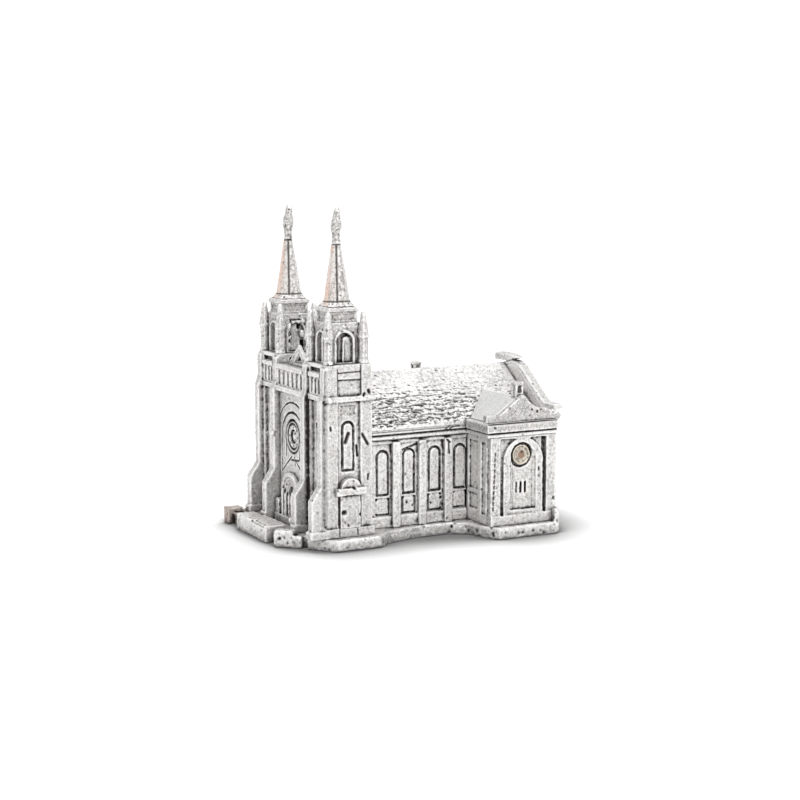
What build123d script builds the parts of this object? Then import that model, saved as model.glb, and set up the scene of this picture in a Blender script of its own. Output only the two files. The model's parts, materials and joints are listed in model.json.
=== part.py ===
"""Miniature twin-spired church, a pewter souvenir built from separate castings.

Millimetres. +Z is up, the front with the two towers faces -Y, and the origin is the
middle of the underside. Flat walls stand in slots in a base plate, the towers stand on
square tenons, and belfries, spires, finials and pinnacles are stacked on spigots.
The right half is modelled at +X and mirrored where the building is symmetrical.
"""

import os

from build123d import *

# ---- Driving dimensions -------------------------------------------------------------
TOTAL_HEIGHT = 60.0
BASE_LENGTH = 55.0
BASE_WIDTH = 43.0
BASE_TOP = 2.2          # top of the base plate
STEP_TOP = 3.1          # top of the entrance steps and of the raised pads

FACADE_Y = -20.2        # front plane of the wall between the towers
TOWER_X = 10.2          # tower axis, left and right
TOWER_Y = -15.9
TOWER_SIDE = 9.0        # over the corner piers
PIER = 2.3              # corner pier, square
PANEL_DEPTH = 0.6       # how far the tower panels lie behind the piers
BAY = TOWER_X - TOWER_SIDE / 2      # half width of the bay between the towers
BELFRY_FLOOR = 32.8
STRING_FOOT, STRING_TOP = 26.3, 27.2

NAVE_X = 11.2           # outer face of the nave wall panels
WALL = 1.0              # thickness of the flat-cast walls
NAVE_FRONT, NAVE_REAR = TOWER_Y + TOWER_SIDE / 2, 9.9
WALL_TOP = 18.4
EAVE_Z, EAVE_X = 21.2, 12.3
RIDGE_Z = 29.5
ROOF_REAR = 24.7
UPPER_Y = -16.1         # axis of the belfries and spires, a little ahead of the shafts

TRANSEPT_X = 19.3       # outer face of the transept's end panel
TRANSEPT_FRONT, TRANSEPT_REAR = NAVE_REAR, 23.9
TRANSEPT_MID = (TRANSEPT_FRONT + TRANSEPT_REAR) / 2
TRANSEPT_RIDGE_Z = 25.6
RIDGE_Y = {"right": 16.4, "left": 14.7}     # the two transept ridges don't line up

REAR_OUT = 26.1         # outer face of the rear gable wall
REAR_X = 16.4           # its half width

GROOVE = 0.42           # width of the engraved outlines
ENGRAVE = 0.45          # their depth
TAB_DEPTH = 1.2         # tabs and tenons in the base plate
FIT = 0.05              # clearance on each side of a tab, tenon or spigot

os.makedirs("parts", exist_ok=True)


# ---- Shared shapes ------------------------------------------------------------------
def save(part, label):
    """Names one casting and writes it as its own STEP file."""
    part.label = label
    export_step(part, f"parts/{label}.step")


def save_pair(part, label):
    """Writes a casting of the right side and its mirror image on the left."""
    save(part, f"{label}_right")
    save(mirror(part, about=Plane.YZ), f"{label}_left")


def save_side(part, label, side):
    """Writes a casting modelled at +X for the side of the building that it belongs to."""
    save(part if side == "right" else mirror(part, about=Plane.YZ), f"{label}_{side}")


def facing_front(x, y):
    """Sketch plane on a wall that faces -Y: local x runs along +X, local y up."""
    return Plane(origin=(x, y, 0), x_dir=(1, 0, 0), z_dir=(0, -1, 0))


def facing_rear(x, y):
    """Sketch plane on a wall that faces +Y: local x runs along -X, local y up."""
    return Plane(origin=(x, y, 0), x_dir=(-1, 0, 0), z_dir=(0, 1, 0))


def facing_right(x, y):
    """Sketch plane on a wall that faces +X: local x runs along +Y, local y up."""
    return Plane(origin=(x, y, 0), x_dir=(0, 1, 0), z_dir=(1, 0, 0))


def facing_left(x, y):
    """Sketch plane on a wall that faces -X: local x runs along -Y, local y up."""
    return Plane(origin=(x, y, 0), x_dir=(0, -1, 0), z_dir=(-1, 0, 0))


def block(x, y, z, mode=Mode.ADD):
    """A box between the two limits given for each axis."""
    with Locations(((x[0] + x[1]) / 2, (y[0] + y[1]) / 2, (z[0] + z[1]) / 2)):
        Box(x[1] - x[0], y[1] - y[0], z[1] - z[0], mode=mode)


def square_course(x, y, side, foot, top, mode=Mode.ADD):
    """A square block round a vertical axis, such as a plinth or string course."""
    block((x - side / 2, x + side / 2), (y - side / 2, y + side / 2), (foot, top), mode)


def round_head(width, foot, top):
    """A round-headed opening with vertical jambs, centred on local x = 0."""
    spring = top - width / 2
    with BuildSketch(mode=Mode.PRIVATE) as shape:
        with Locations((0, (foot + spring) / 2)):
            Rectangle(width, spring - foot)
        with Locations((0, spring)):
            Circle(width / 2)
    return shape.sketch


def arch_band(width, foot, top, band):
    """A round-headed band of even width, open at the foot."""
    with BuildSketch(mode=Mode.PRIVATE) as shape:
        add(round_head(width, foot, top))
        add(round_head(width - 2 * band, foot, top - band), mode=Mode.SUBTRACT)
    return shape.sketch


def window_outline(width, foot, top):
    """The engraved outline of a round-headed window, closed at the sill."""
    with BuildSketch(mode=Mode.PRIVATE) as shape:
        add(round_head(width, foot, top))
        add(
            round_head(width - 2 * GROOVE, foot + GROOVE, top - GROOVE),
            mode=Mode.SUBTRACT,
        )
    return shape.sketch


def engrave(plane, sketch, depth=ENGRAVE):
    """Cuts a sketch into the face that the plane lies on."""
    with BuildSketch(plane) as placed:
        add(sketch)
    extrude(placed.sketch, amount=-depth, mode=Mode.SUBTRACT)


def emboss(plane, sketch, height):
    """Raises a sketch from the face that the plane lies on."""
    with BuildSketch(plane) as placed:
        add(sketch)
    extrude(placed.sketch, amount=height)


def spigot(x, y, z, radius, length, mode=Mode.ADD):
    """A round peg or socket that runs down from z."""
    with Locations((x, y, z - length / 2)):
        Cylinder(radius, length, mode=mode)


# ---- Joints in the base plate: tab slots as (x limits, y limits) ---------------------
TENON = 5.0
NAVE_TABS = [(-9.0, -5.0), (2.5, 6.5)]
NAVE_TAB_X = (NAVE_X - WALL, NAVE_X)
FRONT_TAB_X = (13.5, 16.5)
END_TAB_Y = (TRANSEPT_MID - 2.0, TRANSEPT_MID + 2.0)
REAR_TAB_X = (-3.0, 3.0)
FACADE_WALL_BACK = FACADE_Y + 2.2
FACADE_TAB_X = (-3.0, 3.0)
NAVE_FRONT_WALL_Y = (NAVE_FRONT - 1.1, NAVE_FRONT)


def slot(x, y):
    """A slot in the top of the base plate, with clearance round the tab."""
    block(
        (x[0] - FIT, x[1] + FIT),
        (y[0] - FIT, y[1] + FIT),
        (BASE_TOP - TAB_DEPTH - FIT, BASE_TOP + 1),
        mode=Mode.SUBTRACT,
    )


# ---- Base ---------------------------------------------------------------------------
STEPS_X = (-9.4, 4.0)
STEPS_FRONT = -BASE_LENGTH / 2
PLATE_FRONT = STEPS_FRONT + 1.3
TOWER_LOBE_X = 16.8


def base_plate():
    half_width, half_length = BASE_WIDTH / 2, BASE_LENGTH / 2
    nave_side = [
        (TOWER_LOBE_X, -10.9),
        (14.3, -7.6),
        (12.9, -1.6),
        (12.9, 5.4),
        (14.9, 8.3),
        (17.8, 8.8),
        (half_width, 10.9),
        (half_width, half_length - 4.0),
        (half_width - 0.8, half_length - 3.2),
        (half_width - 6.8, half_length),
    ]
    right_side = [(8.0, PLATE_FRONT), (TOWER_LOBE_X, -19.0)] + nave_side
    left_side = [(-TOWER_LOBE_X + 0.5, PLATE_FRONT), (-TOWER_LOBE_X, PLATE_FRONT + 0.5)]
    left_side += [(-x, y) for x, y in nave_side]
    with BuildPart() as plate:
        with BuildSketch():
            with BuildLine():
                Polyline(right_side + left_side[::-1], close=True)
            make_face()
        extrude(amount=BASE_TOP)
        # Raised pads: a corner lobe beside the steps on each side, and the rear corners.
        block((-16.4, -13.9), (STEPS_FRONT + 0.2, -24.3), (0, STEP_TOP))
        with BuildSketch():
            with BuildLine():
                Polyline(
                    [(7.4, -27.3), (9.9, -24.9), (8.4, -23.4), (5.9, -25.8)], close=True
                )
            make_face()
        extrude(amount=STEP_TOP)
        for side in (-1, 1):
            with BuildSketch():
                with BuildLine():
                    post = [(20.1, 22.9), (21.3, 22.9), (21.3, 23.7), (19.3, 24.8), (19.3, 24.0)]
                    post += [(20.1, 24.0)]
                    Polyline([(side * x, y) for x, y in post], close=True)
                make_face()
            extrude(amount=4.6)
        # The notch in the chamfered corner beside the right tower.
        with BuildSketch():
            with Locations(Location((11.3, -23.0), 40)):
                Rectangle(1.3, 1.6)
        extrude(amount=BASE_TOP + 1, mode=Mode.SUBTRACT)
        # The bay that the steps stand in, then the slots for tenons and tabs.
        block(
            (STEPS_X[0] - FIT, STEPS_X[1] + FIT),
            (STEPS_FRONT - 1, -24.0),
            (-1, BASE_TOP + 2),
            mode=Mode.SUBTRACT,
        )
        for side in (-1, 1):
            x = side * TOWER_X
            slot((x - TENON / 2, x + TENON / 2), (TOWER_Y - TENON / 2, TOWER_Y + TENON / 2))
            for tab in NAVE_TABS:
                slot(sorted((side * NAVE_TAB_X[0], side * NAVE_TAB_X[1])), tab)
            front_tab = sorted((side * FRONT_TAB_X[0], side * FRONT_TAB_X[1]))
            slot(front_tab, (TRANSEPT_FRONT, TRANSEPT_FRONT + WALL))
            slot(front_tab, (TRANSEPT_REAR - WALL, TRANSEPT_REAR))
            slot(sorted((side * (TRANSEPT_X - WALL), side * TRANSEPT_X)), END_TAB_Y)
        slot(REAR_TAB_X, (TRANSEPT_REAR, REAR_OUT))
        slot(FACADE_TAB_X, (FACADE_Y + 0.8, FACADE_WALL_BACK))
        slot(FACADE_TAB_X, NAVE_FRONT_WALL_Y)
    save(plate.part, "base_plate")


def entrance_steps():
    """The block of steps, which fills a bay in the plate's front edge."""
    with BuildPart() as steps:
        block(STEPS_X, (STEPS_FRONT, -24.0), (0, STEP_TOP))
        block((-5.5, 4.0), (-24.0, -23.45), (BASE_TOP, STEP_TOP))
        fillet(steps.edges().group_by(Axis.Y)[0], radius=0.25)
        # Two shallow treads in front of the door.
        for tread, (front, drop) in enumerate(((-26.9, 0.5), (-26.3, 0.25))):
            reach = 3.2 - 0.5 * tread
            block(
                (-reach, reach),
                (STEPS_FRONT - 1, front),
                (STEP_TOP - drop, STEP_TOP + 1),
                mode=Mode.SUBTRACT,
            )
    save(steps.part, "entrance_steps")


# ---- Towers -------------------------------------------------------------------------
BUTTRESS = 1.8
PINNACLE_AT = (3.6, 3.4)    # pinnacle axes from the belfry axis, in x and in y
PIN_RADIUS, PIN_LENGTH = 0.35, 1.0
BELFRY_SPIGOT = 3.0


def front_buttress(x):
    """A fin on the front pier that steps forward twice on its way down."""
    pier_face = TOWER_Y - TOWER_SIDE / 2
    profile = [
        (pier_face + 0.5, BASE_TOP),
        (pier_face - 2.8, BASE_TOP),
        (pier_face - 2.8, 9.0),
        (pier_face - 1.0, 11.6),
        (pier_face - 1.0, STRING_FOOT),
        (pier_face - 0.4, STRING_TOP + 0.7),
        (pier_face - 0.4, BELFRY_FLOOR - 0.5),
        (pier_face + 0.5, BELFRY_FLOOR - 0.5),
    ]
    with BuildSketch(Plane.YZ.offset(x - BUTTRESS / 2)) as side_view:
        with BuildLine():
            Polyline(profile, close=True)
        make_face()
    extrude(side_view.sketch, amount=BUTTRESS)
    foot_y = (pier_face - 3.1, pier_face)
    block((x - 1.1, x + 1.1), foot_y, (BASE_TOP, BASE_TOP + 1.3))


def tower_shaft():
    x, y = TOWER_X, TOWER_Y
    half = TOWER_SIDE / 2
    panel = TOWER_SIDE - 2 * PANEL_DEPTH
    with BuildPart() as shaft:
        square_course(x, y, panel, BASE_TOP, BELFRY_FLOOR)
        with BuildSketch(Plane.XY.offset(BASE_TOP)):
            with Locations((x, y)):
                with GridLocations(TOWER_SIDE - PIER, TOWER_SIDE - PIER, 2, 2):
                    Rectangle(PIER, PIER)
        extrude(amount=BELFRY_FLOOR - BASE_TOP)
        for side in (-1, 1):
            front_buttress(x + side * (half - BUTTRESS / 2))
        square_course(x, y, TOWER_SIDE + 0.6, BASE_TOP, 3.8)
        square_course(x, y, TOWER_SIDE + 0.5, STRING_FOOT, STRING_TOP)
        square_course(x, y, TOWER_SIDE - 0.3, 30.2, 31.3)
        square_course(x, y, TOWER_SIDE, 32.1, BELFRY_FLOOR)
        # Fillings that leave two thin joints across the side panel above the string course.
        panel_y = (y - half + PIER, y + half - PIER)
        panel_x = x + panel / 2
        block((panel_x, x + half - 0.05), panel_y, (31.6, 32.1))
        block((panel_x, panel_x + 0.25), panel_y, (STRING_TOP, 29.9))
        # Engraved lancets: one on each side and rear panel, a taller one in front.
        side_window = window_outline(2.6, 13.8, 22.8)
        panel_face = panel / 2
        engrave(facing_right(x + panel_face, y), side_window)
        engrave(facing_rear(x, y + panel_face), side_window)
        engrave(facing_front(x, y - panel_face), window_outline(2.0, 11.4, 22.5))
        with BuildSketch(facing_right(x + panel_face, y)):
            with Locations((0, 24.7)):
                Rectangle(3.0, 1.9)
        extrude(amount=-0.15, mode=Mode.SUBTRACT)
        # Flat sides where the facade, the front wall and the nave walls stand against it.
        block((0, BAY), (y - TOWER_SIDE, y + TOWER_SIDE), (0, BELFRY_FLOOR + 1), Mode.SUBTRACT)
        block((0, EAVE_X + 0.2), (NAVE_FRONT, y + TOWER_SIDE), (0, EAVE_Z), Mode.SUBTRACT)
        # The tenon below, and the sockets for the belfry and the pinnacles above.
        square_course(x, y, TENON, BASE_TOP - TAB_DEPTH, BASE_TOP)
        socket = BELFRY_SPIGOT + 2 * FIT
        square_course(x, UPPER_Y, socket, BELFRY_FLOOR - 1.3, BELFRY_FLOOR + 1, Mode.SUBTRACT)
        with BuildSketch(Plane.XY.offset(BELFRY_FLOOR)):
            with Locations((x, UPPER_Y)):
                with GridLocations(2 * PINNACLE_AT[0], 2 * PINNACLE_AT[1], 2, 2):
                    Circle(PIN_RADIUS + FIT)
        extrude(amount=-PIN_LENGTH - FIT, mode=Mode.SUBTRACT)
    save_pair(shaft.part, "tower_shaft")


PORCH_WIDTH = 3.9
CANOPY_WIDTH = 5.8


def tower_porch():
    """The small porch on the tower's outer side, under a segmental gable."""
    panel_x = TOWER_X + TOWER_SIDE / 2 - PANEL_DEPTH
    pier_x = TOWER_X + TOWER_SIDE / 2
    foot = 3.8
    inner = PORCH_WIDTH / 2
    joint_y = inner - 0.4
    with BuildPart() as porch:
        block(
            (panel_x, pier_x + 0.45),
            (TOWER_Y - inner, TOWER_Y + inner),
            (foot, 10.0),
        )
        half = CANOPY_WIDTH / 2
        block((pier_x, pier_x + 1.1), (TOWER_Y - half, TOWER_Y + half), (9.8, 11.1))
        block((panel_x, pier_x), (TOWER_Y - inner, TOWER_Y + inner), (10.0, 11.1))
        # A low domed roof on the flat band, and two upright joints in the wall below.
        with BuildSketch(facing_right(panel_x, TOWER_Y)):
            with BuildLine():
                Line((-inner, 11.1), (inner, 11.1))
                ThreePointArc((inner, 11.1), (0, 12.8), (-inner, 11.1))
            make_face()
        extrude(amount=PANEL_DEPTH + 0.7)
        with BuildSketch(facing_right(pier_x + 0.45, TOWER_Y)):
            with Locations((-joint_y, 6.9), (joint_y, 6.9)):
                Rectangle(0.25, 6.0)
        extrude(amount=-0.25, mode=Mode.SUBTRACT)
    save_pair(porch.part, "tower_porch")


def octagon(across_flats):
    """A regular octagon with flats facing the four walls."""
    with BuildSketch(mode=Mode.PRIVATE) as shape:
        RegularPolygon(across_flats / 2, 8, major_radius=False, rotation=22.5)
    return shape.sketch


PINNACLE_SHAFT = 1.45
CONE_FOOT = 37.8
PINNACLE_TIP = 41.9


def pinnacle(x, y, label):
    """An octagonal shaft and spirelet on a pin in the tower's corner."""
    with BuildPart() as spirelet:
        for foot, top, width in (
            (BELFRY_FLOOR, CONE_FOOT, PINNACLE_SHAFT),
            (BELFRY_FLOOR, BELFRY_FLOOR + 0.6, PINNACLE_SHAFT + 0.2),
            (CONE_FOOT - 0.4, CONE_FOOT, PINNACLE_SHAFT + 0.3),
        ):
            with BuildSketch(Plane.XY.offset(foot)):
                with Locations((x, y)):
                    add(octagon(width))
            extrude(amount=top - foot)
        for height, width in ((CONE_FOOT, PINNACLE_SHAFT + 0.3), (PINNACLE_TIP, 0.6)):
            with BuildSketch(Plane.XY.offset(height)):
                with Locations((x, y)):
                    add(octagon(width))
        loft()
        spigot(x, y, BELFRY_FLOOR, PIN_RADIUS, PIN_LENGTH)
    save(spirelet.part, label)


def pinnacles():
    for side, side_name in ((1, "right"), (-1, "left")):
        for out, out_name in ((1, "outer"), (-1, "inner")):
            for back, back_name in ((-1, "front"), (1, "rear")):
                x = side * (TOWER_X + out * PINNACLE_AT[0])
                y = UPPER_Y + back * PINNACLE_AT[1]
                pinnacle(x, y, f"pinnacle_{side_name}_{back_name}_{out_name}")


BELFRY_SIDE = 6.1
FRIEZE_SIDE = 5.3
BELFRY_WALL_TOP = 39.4
FRIEZE_FOOT, FRIEZE_TOP = 40.05, 41.9
SPIRE_FOOT = 42.7
SPIRE_SPIGOT = 1.0
ARCH_WIDTH, ARCH_DEPTH = 3.2, 1.3


def belfry():
    """A bell stage with a deep blind arch in each side."""
    x, y = TOWER_X, UPPER_Y
    opening = round_head(ARCH_WIDTH, BELFRY_FLOOR + 0.2, 38.3)
    half = BELFRY_SIDE / 2
    with BuildPart() as stage:
        square_course(x, y, BELFRY_SIDE, BELFRY_FLOOR, BELFRY_WALL_TOP)
        for plane in (
            facing_front(x, y - half),
            facing_rear(x, y + half),
            facing_right(x + half, y),
            facing_left(x - half, y),
        ):
            emboss(plane, arch_band(ARCH_WIDTH + 0.8, BELFRY_FLOOR, 38.7, 0.4), 0.2)
            engrave(plane, opening, ARCH_DEPTH)
        # Seats for the pinnacles at the corners.
        with BuildSketch(Plane.XY.offset(BELFRY_FLOOR)):
            with Locations((x, y)):
                with GridLocations(2 * PINNACLE_AT[0], 2 * PINNACLE_AT[1], 2, 2):
                    add(octagon(PINNACLE_SHAFT + 0.3 + 2 * FIT))
        extrude(amount=BELFRY_WALL_TOP - BELFRY_FLOOR, mode=Mode.SUBTRACT)
        square_course(x, y, BELFRY_SIDE - 0.2, BELFRY_WALL_TOP, FRIEZE_FOOT)
        square_course(x, y, FRIEZE_SIDE, FRIEZE_FOOT, FRIEZE_TOP)
        square_course(x, y, FRIEZE_SIDE + 0.5, FRIEZE_TOP, SPIRE_FOOT - 0.2)
        square_course(x, y, FRIEZE_SIDE + 0.2, SPIRE_FOOT - 0.2, SPIRE_FOOT)
        # A sunk field in each side of the frieze.
        frieze_half = FRIEZE_SIDE / 2
        for plane in (
            facing_front(x, y - frieze_half),
            facing_rear(x, y + frieze_half),
            facing_right(x + frieze_half, y),
            facing_left(x - frieze_half, y),
        ):
            with BuildSketch(plane):
                with Locations((0, (FRIEZE_FOOT + FRIEZE_TOP) / 2)):
                    Rectangle(FRIEZE_SIDE - 0.9, 1.2)
            extrude(amount=-0.15, mode=Mode.SUBTRACT)
        square_course(x, y, BELFRY_SPIGOT, BELFRY_FLOOR - TAB_DEPTH, BELFRY_FLOOR + 0.3)
        spigot(x, y, SPIRE_FOOT + 1, SPIRE_SPIGOT + FIT, 2.3, Mode.SUBTRACT)
    save_pair(stage.part, "belfry")


SPIRE_TOP = 53.65
FINIAL_PEG = 0.4


def spire():
    """An octagonal spire that flares to a square skirt at its foot."""
    x, y = TOWER_X, UPPER_Y
    with BuildPart() as pyramid:
        for height, width, corner in (
            (SPIRE_FOOT, 5.1, 0.3),
            (SPIRE_FOOT + 0.45, 4.7, 0.7),
            (SPIRE_FOOT + 0.9, 4.35, 1.15),
        ):
            with BuildSketch(Plane.XY.offset(height)) as ring:
                with Locations((x, y)):
                    Rectangle(width, width)
                chamfer(ring.vertices(), corner)
        loft(ruled=True)
        for height, width in ((SPIRE_FOOT + 0.9, 4.35), (SPIRE_TOP, 1.5)):
            with BuildSketch(Plane.XY.offset(height)):
                with Locations((x, y)):
                    add(octagon(width))
        loft()
        spigot(x, y, SPIRE_FOOT, SPIRE_SPIGOT, TAB_DEPTH)
        spigot(x, y, SPIRE_TOP + 1, FINIAL_PEG + FIT, 2.3, Mode.SUBTRACT)
    save_pair(pyramid.part, "spire")


def spire_finial():
    """A turned neck and a bud that tapers to a point, on a peg in the spire."""
    neck_top, bud = SPIRE_TOP + 2.2, SPIRE_TOP + 3.0
    with BuildPart() as finial:
        with BuildSketch(Plane.XZ.offset(-UPPER_Y)):
            with BuildLine():
                Polyline(
                    (TOWER_X, SPIRE_TOP - 1.2),
                    (TOWER_X + FINIAL_PEG, SPIRE_TOP - 1.2),
                    (TOWER_X + FINIAL_PEG, SPIRE_TOP),
                    (TOWER_X + 0.8, SPIRE_TOP),
                    (TOWER_X + 0.8, SPIRE_TOP + 0.3),
                    (TOWER_X + 0.68, SPIRE_TOP + 0.5),
                    (TOWER_X + 0.7, neck_top - 0.3),
                    (TOWER_X + 0.82, neck_top),
                )
                Spline(
                    (TOWER_X + 0.82, neck_top),
                    (TOWER_X + 0.93, bud),
                    (TOWER_X + 0.55, bud + 2.0),
                    (TOWER_X + 0.25, TOTAL_HEIGHT - 0.2),
                )
                Line((TOWER_X + 0.25, TOTAL_HEIGHT - 0.2), (TOWER_X, TOTAL_HEIGHT))
                Line((TOWER_X, TOTAL_HEIGHT), (TOWER_X, SPIRE_TOP - 1.2))
            make_face()
        revolve(axis=Axis((TOWER_X, UPPER_Y, 0), (0, 0, 1)))
    save_pair(finial.part, "spire_finial")


# ---- Front between the towers -------------------------------------------------------
ROSE_Z, ROSE_RADIUS = 18.3, 2.5
DOOR_DEPTH = 1.0        # how far the doorway is sunk into the facade


def facade_wall():
    with BuildPart() as wall:
        block((-BAY, BAY), (FACADE_Y, FACADE_WALL_BACK), (BASE_TOP, STRING_FOOT))
        block((-BAY, BAY), (FACADE_Y + 0.8, FACADE_WALL_BACK), (STRING_FOOT, 30.4))
        front = facing_front(0, FACADE_Y)
        # Nested arches round the rose window, the widest clipped by the towers.
        with BuildSketch(front):
            with Locations((0, 17.9)):
                Circle(6.75)
                Circle(6.45, mode=Mode.SUBTRACT)
            with Locations((0, 23.4)):
                Rectangle(2 * BAY, 4.4, mode=Mode.INTERSECT)
        extrude(amount=-ENGRAVE, mode=Mode.SUBTRACT)
        engrave(front, arch_band(10.0, 11.3, 22.9, GROOVE))
        engrave(front, arch_band(6.2, 14.3, 21.5, GROOVE))
        for side in (-1, 1):
            with BuildSketch(front):
                with BuildLine():
                    Polyline(
                        [
                            (side * 0.3, 14.9),
                            (side * 5.1, 11.3),
                            (side * 5.1, 10.9),
                            (side * 0.3, 14.5),
                        ],
                        close=True,
                    )
                make_face()
            extrude(amount=-ENGRAVE, mode=Mode.SUBTRACT)
        with BuildSketch(front):
            with Locations((0, ROSE_Z)):
                Circle(ROSE_RADIUS + FIT)
        extrude(amount=-0.8, mode=Mode.SUBTRACT)
        # The doorway that the entrance doors stand in.
        engrave(front, round_head(3.1, BASE_TOP, 9.1), DOOR_DEPTH)
        block(FACADE_TAB_X, (FACADE_Y + 0.8, FACADE_WALL_BACK), (BASE_TOP - TAB_DEPTH, BASE_TOP))
    save(wall.part, "facade_wall")


def rose_window():
    """A disc of concentric rings with eight lobes, let into the facade."""
    with BuildPart() as rose:
        with BuildSketch(facing_front(0, FACADE_Y + 0.8)):
            with Locations((0, ROSE_Z)):
                Circle(ROSE_RADIUS)
        extrude(amount=0.3)
        disc = facing_front(0, FACADE_Y + 0.5)
        for outer, inner, height in ((2.2, 1.3, 0.35), (0.55, 0.0, 0.2)):
            with BuildSketch(disc):
                with Locations((0, ROSE_Z)):
                    Circle(outer)
                    if inner:
                        Circle(inner, mode=Mode.SUBTRACT)
            extrude(amount=height)
        with BuildSketch(facing_front(0, FACADE_Y + 0.15)):
            with Locations((0, ROSE_Z)):
                with PolarLocations(1.75, 8):
                    Circle(0.26)
        extrude(amount=-0.2, mode=Mode.SUBTRACT)
    save(rose.part, "rose_window")


PORCH_HALF = 3.7
PORCH_FRONT = FACADE_Y - 0.8
SILL = 3.5              # top of the door sill


def entrance_porch():
    """A round-arched doorway in four receding orders, between two low buttresses."""
    front = facing_front(0, PORCH_FRONT)
    with BuildPart() as porch:
        with BuildSketch(facing_front(0, FACADE_Y)):
            add(round_head(2 * PORCH_HALF, BASE_TOP, 11.6))
        extrude(amount=FACADE_Y - PORCH_FRONT)
        for side in (-1, 1):
            with BuildSketch(facing_front(side * 4.7, FACADE_Y)):
                add(round_head(1.4, BASE_TOP, 6.3))
            extrude(amount=1.2)
            block(sorted((side * 3.4, side * 5.4)), (FACADE_Y - 1.4, FACADE_Y), (BASE_TOP, SILL))
        block((-PORCH_HALF, PORCH_HALF), (PORCH_FRONT - 0.5, FACADE_Y), (BASE_TOP, SILL))
        orders = ((6.2, 10.9, 0.2), (5.0, 10.3, 0.4), (3.8, 9.7, 0.6), (2.9, 9.1, 3.0))
        for width, top, depth in orders:
            engrave(front, round_head(width, SILL, top), depth)
        # A slim column in each step of the jambs.
        with BuildSketch(Plane.XY.offset(SILL)):
            for half, back in ((2.75, 0.3), (2.15, 0.5)):
                with Locations((-half, PORCH_FRONT + back), (half, PORCH_FRONT + back)):
                    Circle(0.2)
        extrude(amount=4.4)
        # The sill stands clear of the steps.
        block((-5.6, 5.6), (-24.0, -23.4), (0, STEP_TOP + FIT), mode=Mode.SUBTRACT)
    save(porch.part, "entrance_porch")


def entrance_doors():
    """The pair of plank doors at the back of the porch."""
    with BuildPart() as doors:
        with BuildSketch(facing_front(0, FACADE_Y + 1.0)):
            add(round_head(3.0, BASE_TOP, 9.0))
        extrude(amount=0.6)
        face = facing_front(0, FACADE_Y + 0.4)
        with BuildSketch(face):
            with Locations((0, 5.2)):
                Rectangle(0.14, 6.2)
            with Locations((-0.75, 5.0), (0.75, 5.0)):
                Rectangle(0.1, 5.4)
        extrude(amount=-0.2, mode=Mode.SUBTRACT)
        with BuildSketch(face):
            with Locations((0, 7.3)):
                Rectangle(2.8, 0.16)
        extrude(amount=0.12)
    save(doors.part, "entrance_doors")


RAIL_FOOT, RAIL_TOP = 30.4, 31.2


def gallery_screen(x, half, openings, back, label):
    """A pierced arcade between a string course and a hand rail."""
    front = back - 0.6
    pitch = 2 * half / openings
    with BuildPart() as screen:
        block((x - half, x + half), (front, back), (STRING_TOP, RAIL_TOP))
        for i in range(openings):
            centre = x - half + pitch * (i + 0.5)
            engrave(
                facing_front(centre, front - 1),
                round_head(pitch * 0.52, STRING_TOP + 0.25, RAIL_FOOT - 0.2),
                3.0,
            )
        block((x - half, x + half), (front - 0.35, front), (RAIL_FOOT, RAIL_TOP))
    return screen.part, label


def gallery():
    """The arcaded gallery across the front, its string course and its deck."""
    centre, label = gallery_screen(0, BAY, 6, FACADE_Y + 0.1, "gallery_screen_centre")
    with BuildPart() as screen:
        add(centre)
        block((-BAY, BAY), (FACADE_Y - 0.9, FACADE_Y + 0.1), (STRING_FOOT, STRING_TOP))
    save(screen.part, label)
    side_half = TOWER_SIDE / 2 - PIER
    panel_y = TOWER_Y - TOWER_SIDE / 2 + PANEL_DEPTH
    side_screen, label = gallery_screen(TOWER_X, side_half, 3, panel_y, "gallery_screen")
    with BuildPart() as trimmed:
        add(side_screen)
        square_course(TOWER_X, TOWER_Y, TOWER_SIDE - 0.3, 30.2, 31.3, Mode.SUBTRACT)
        square_course(TOWER_X, TOWER_Y, TOWER_SIDE + 0.5, 0, STRING_TOP, Mode.SUBTRACT)
    save_pair(trimmed.part, label)
    with BuildPart() as deck:
        block((-BAY, BAY), (FACADE_Y + 0.1, NAVE_FRONT), (RAIL_FOOT, RAIL_TOP - 0.2))
        block((-3.0, 3.0), (-19.0, -18.2), (RAIL_FOOT, RAIL_TOP), mode=Mode.SUBTRACT)
    save(deck.part, "gallery_deck")


def facade_gable():
    """The small open gable behind the hand rail."""
    foot = RAIL_TOP - 0.2
    with BuildPart() as gable:
        with BuildSketch(facing_front(0, -18.3)):
            with BuildLine():
                outline = [(-4.2, foot), (4.2, foot), (4.2, foot + 0.5), (0, 35.0), (-4.2, foot + 0.5)]
                Polyline(outline, close=True)
            make_face()
            with BuildLine():
                Polyline([(-2.0, foot + 0.5), (2.0, foot + 0.5), (0, 33.5)], close=True)
            make_face(mode=Mode.SUBTRACT)
        extrude(amount=0.6)
        block((-2.9, 2.9), (-18.9, -18.3), (RAIL_FOOT + FIT, foot))
    save(gable.part, "facade_gable")


def nave_front_wall():
    """The plain wall that closes the nave between the towers."""
    with BuildPart() as wall:
        block((-BAY, BAY), NAVE_FRONT_WALL_Y, (BASE_TOP, RAIL_FOOT))
        block(FACADE_TAB_X, NAVE_FRONT_WALL_Y, (BASE_TOP - TAB_DEPTH, BASE_TOP))
    save(wall.part, "nave_front_wall")


# ---- Nave ---------------------------------------------------------------------------
BAY_PITCH = 5.36
FIRST_WINDOW_Y = -7.6
WINDOW_WIDTH = 2.7
NAVE_BUTTRESS = 1.5
BUTTRESS_LAG = 2.45     # from a window's axis to the buttress behind it


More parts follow.
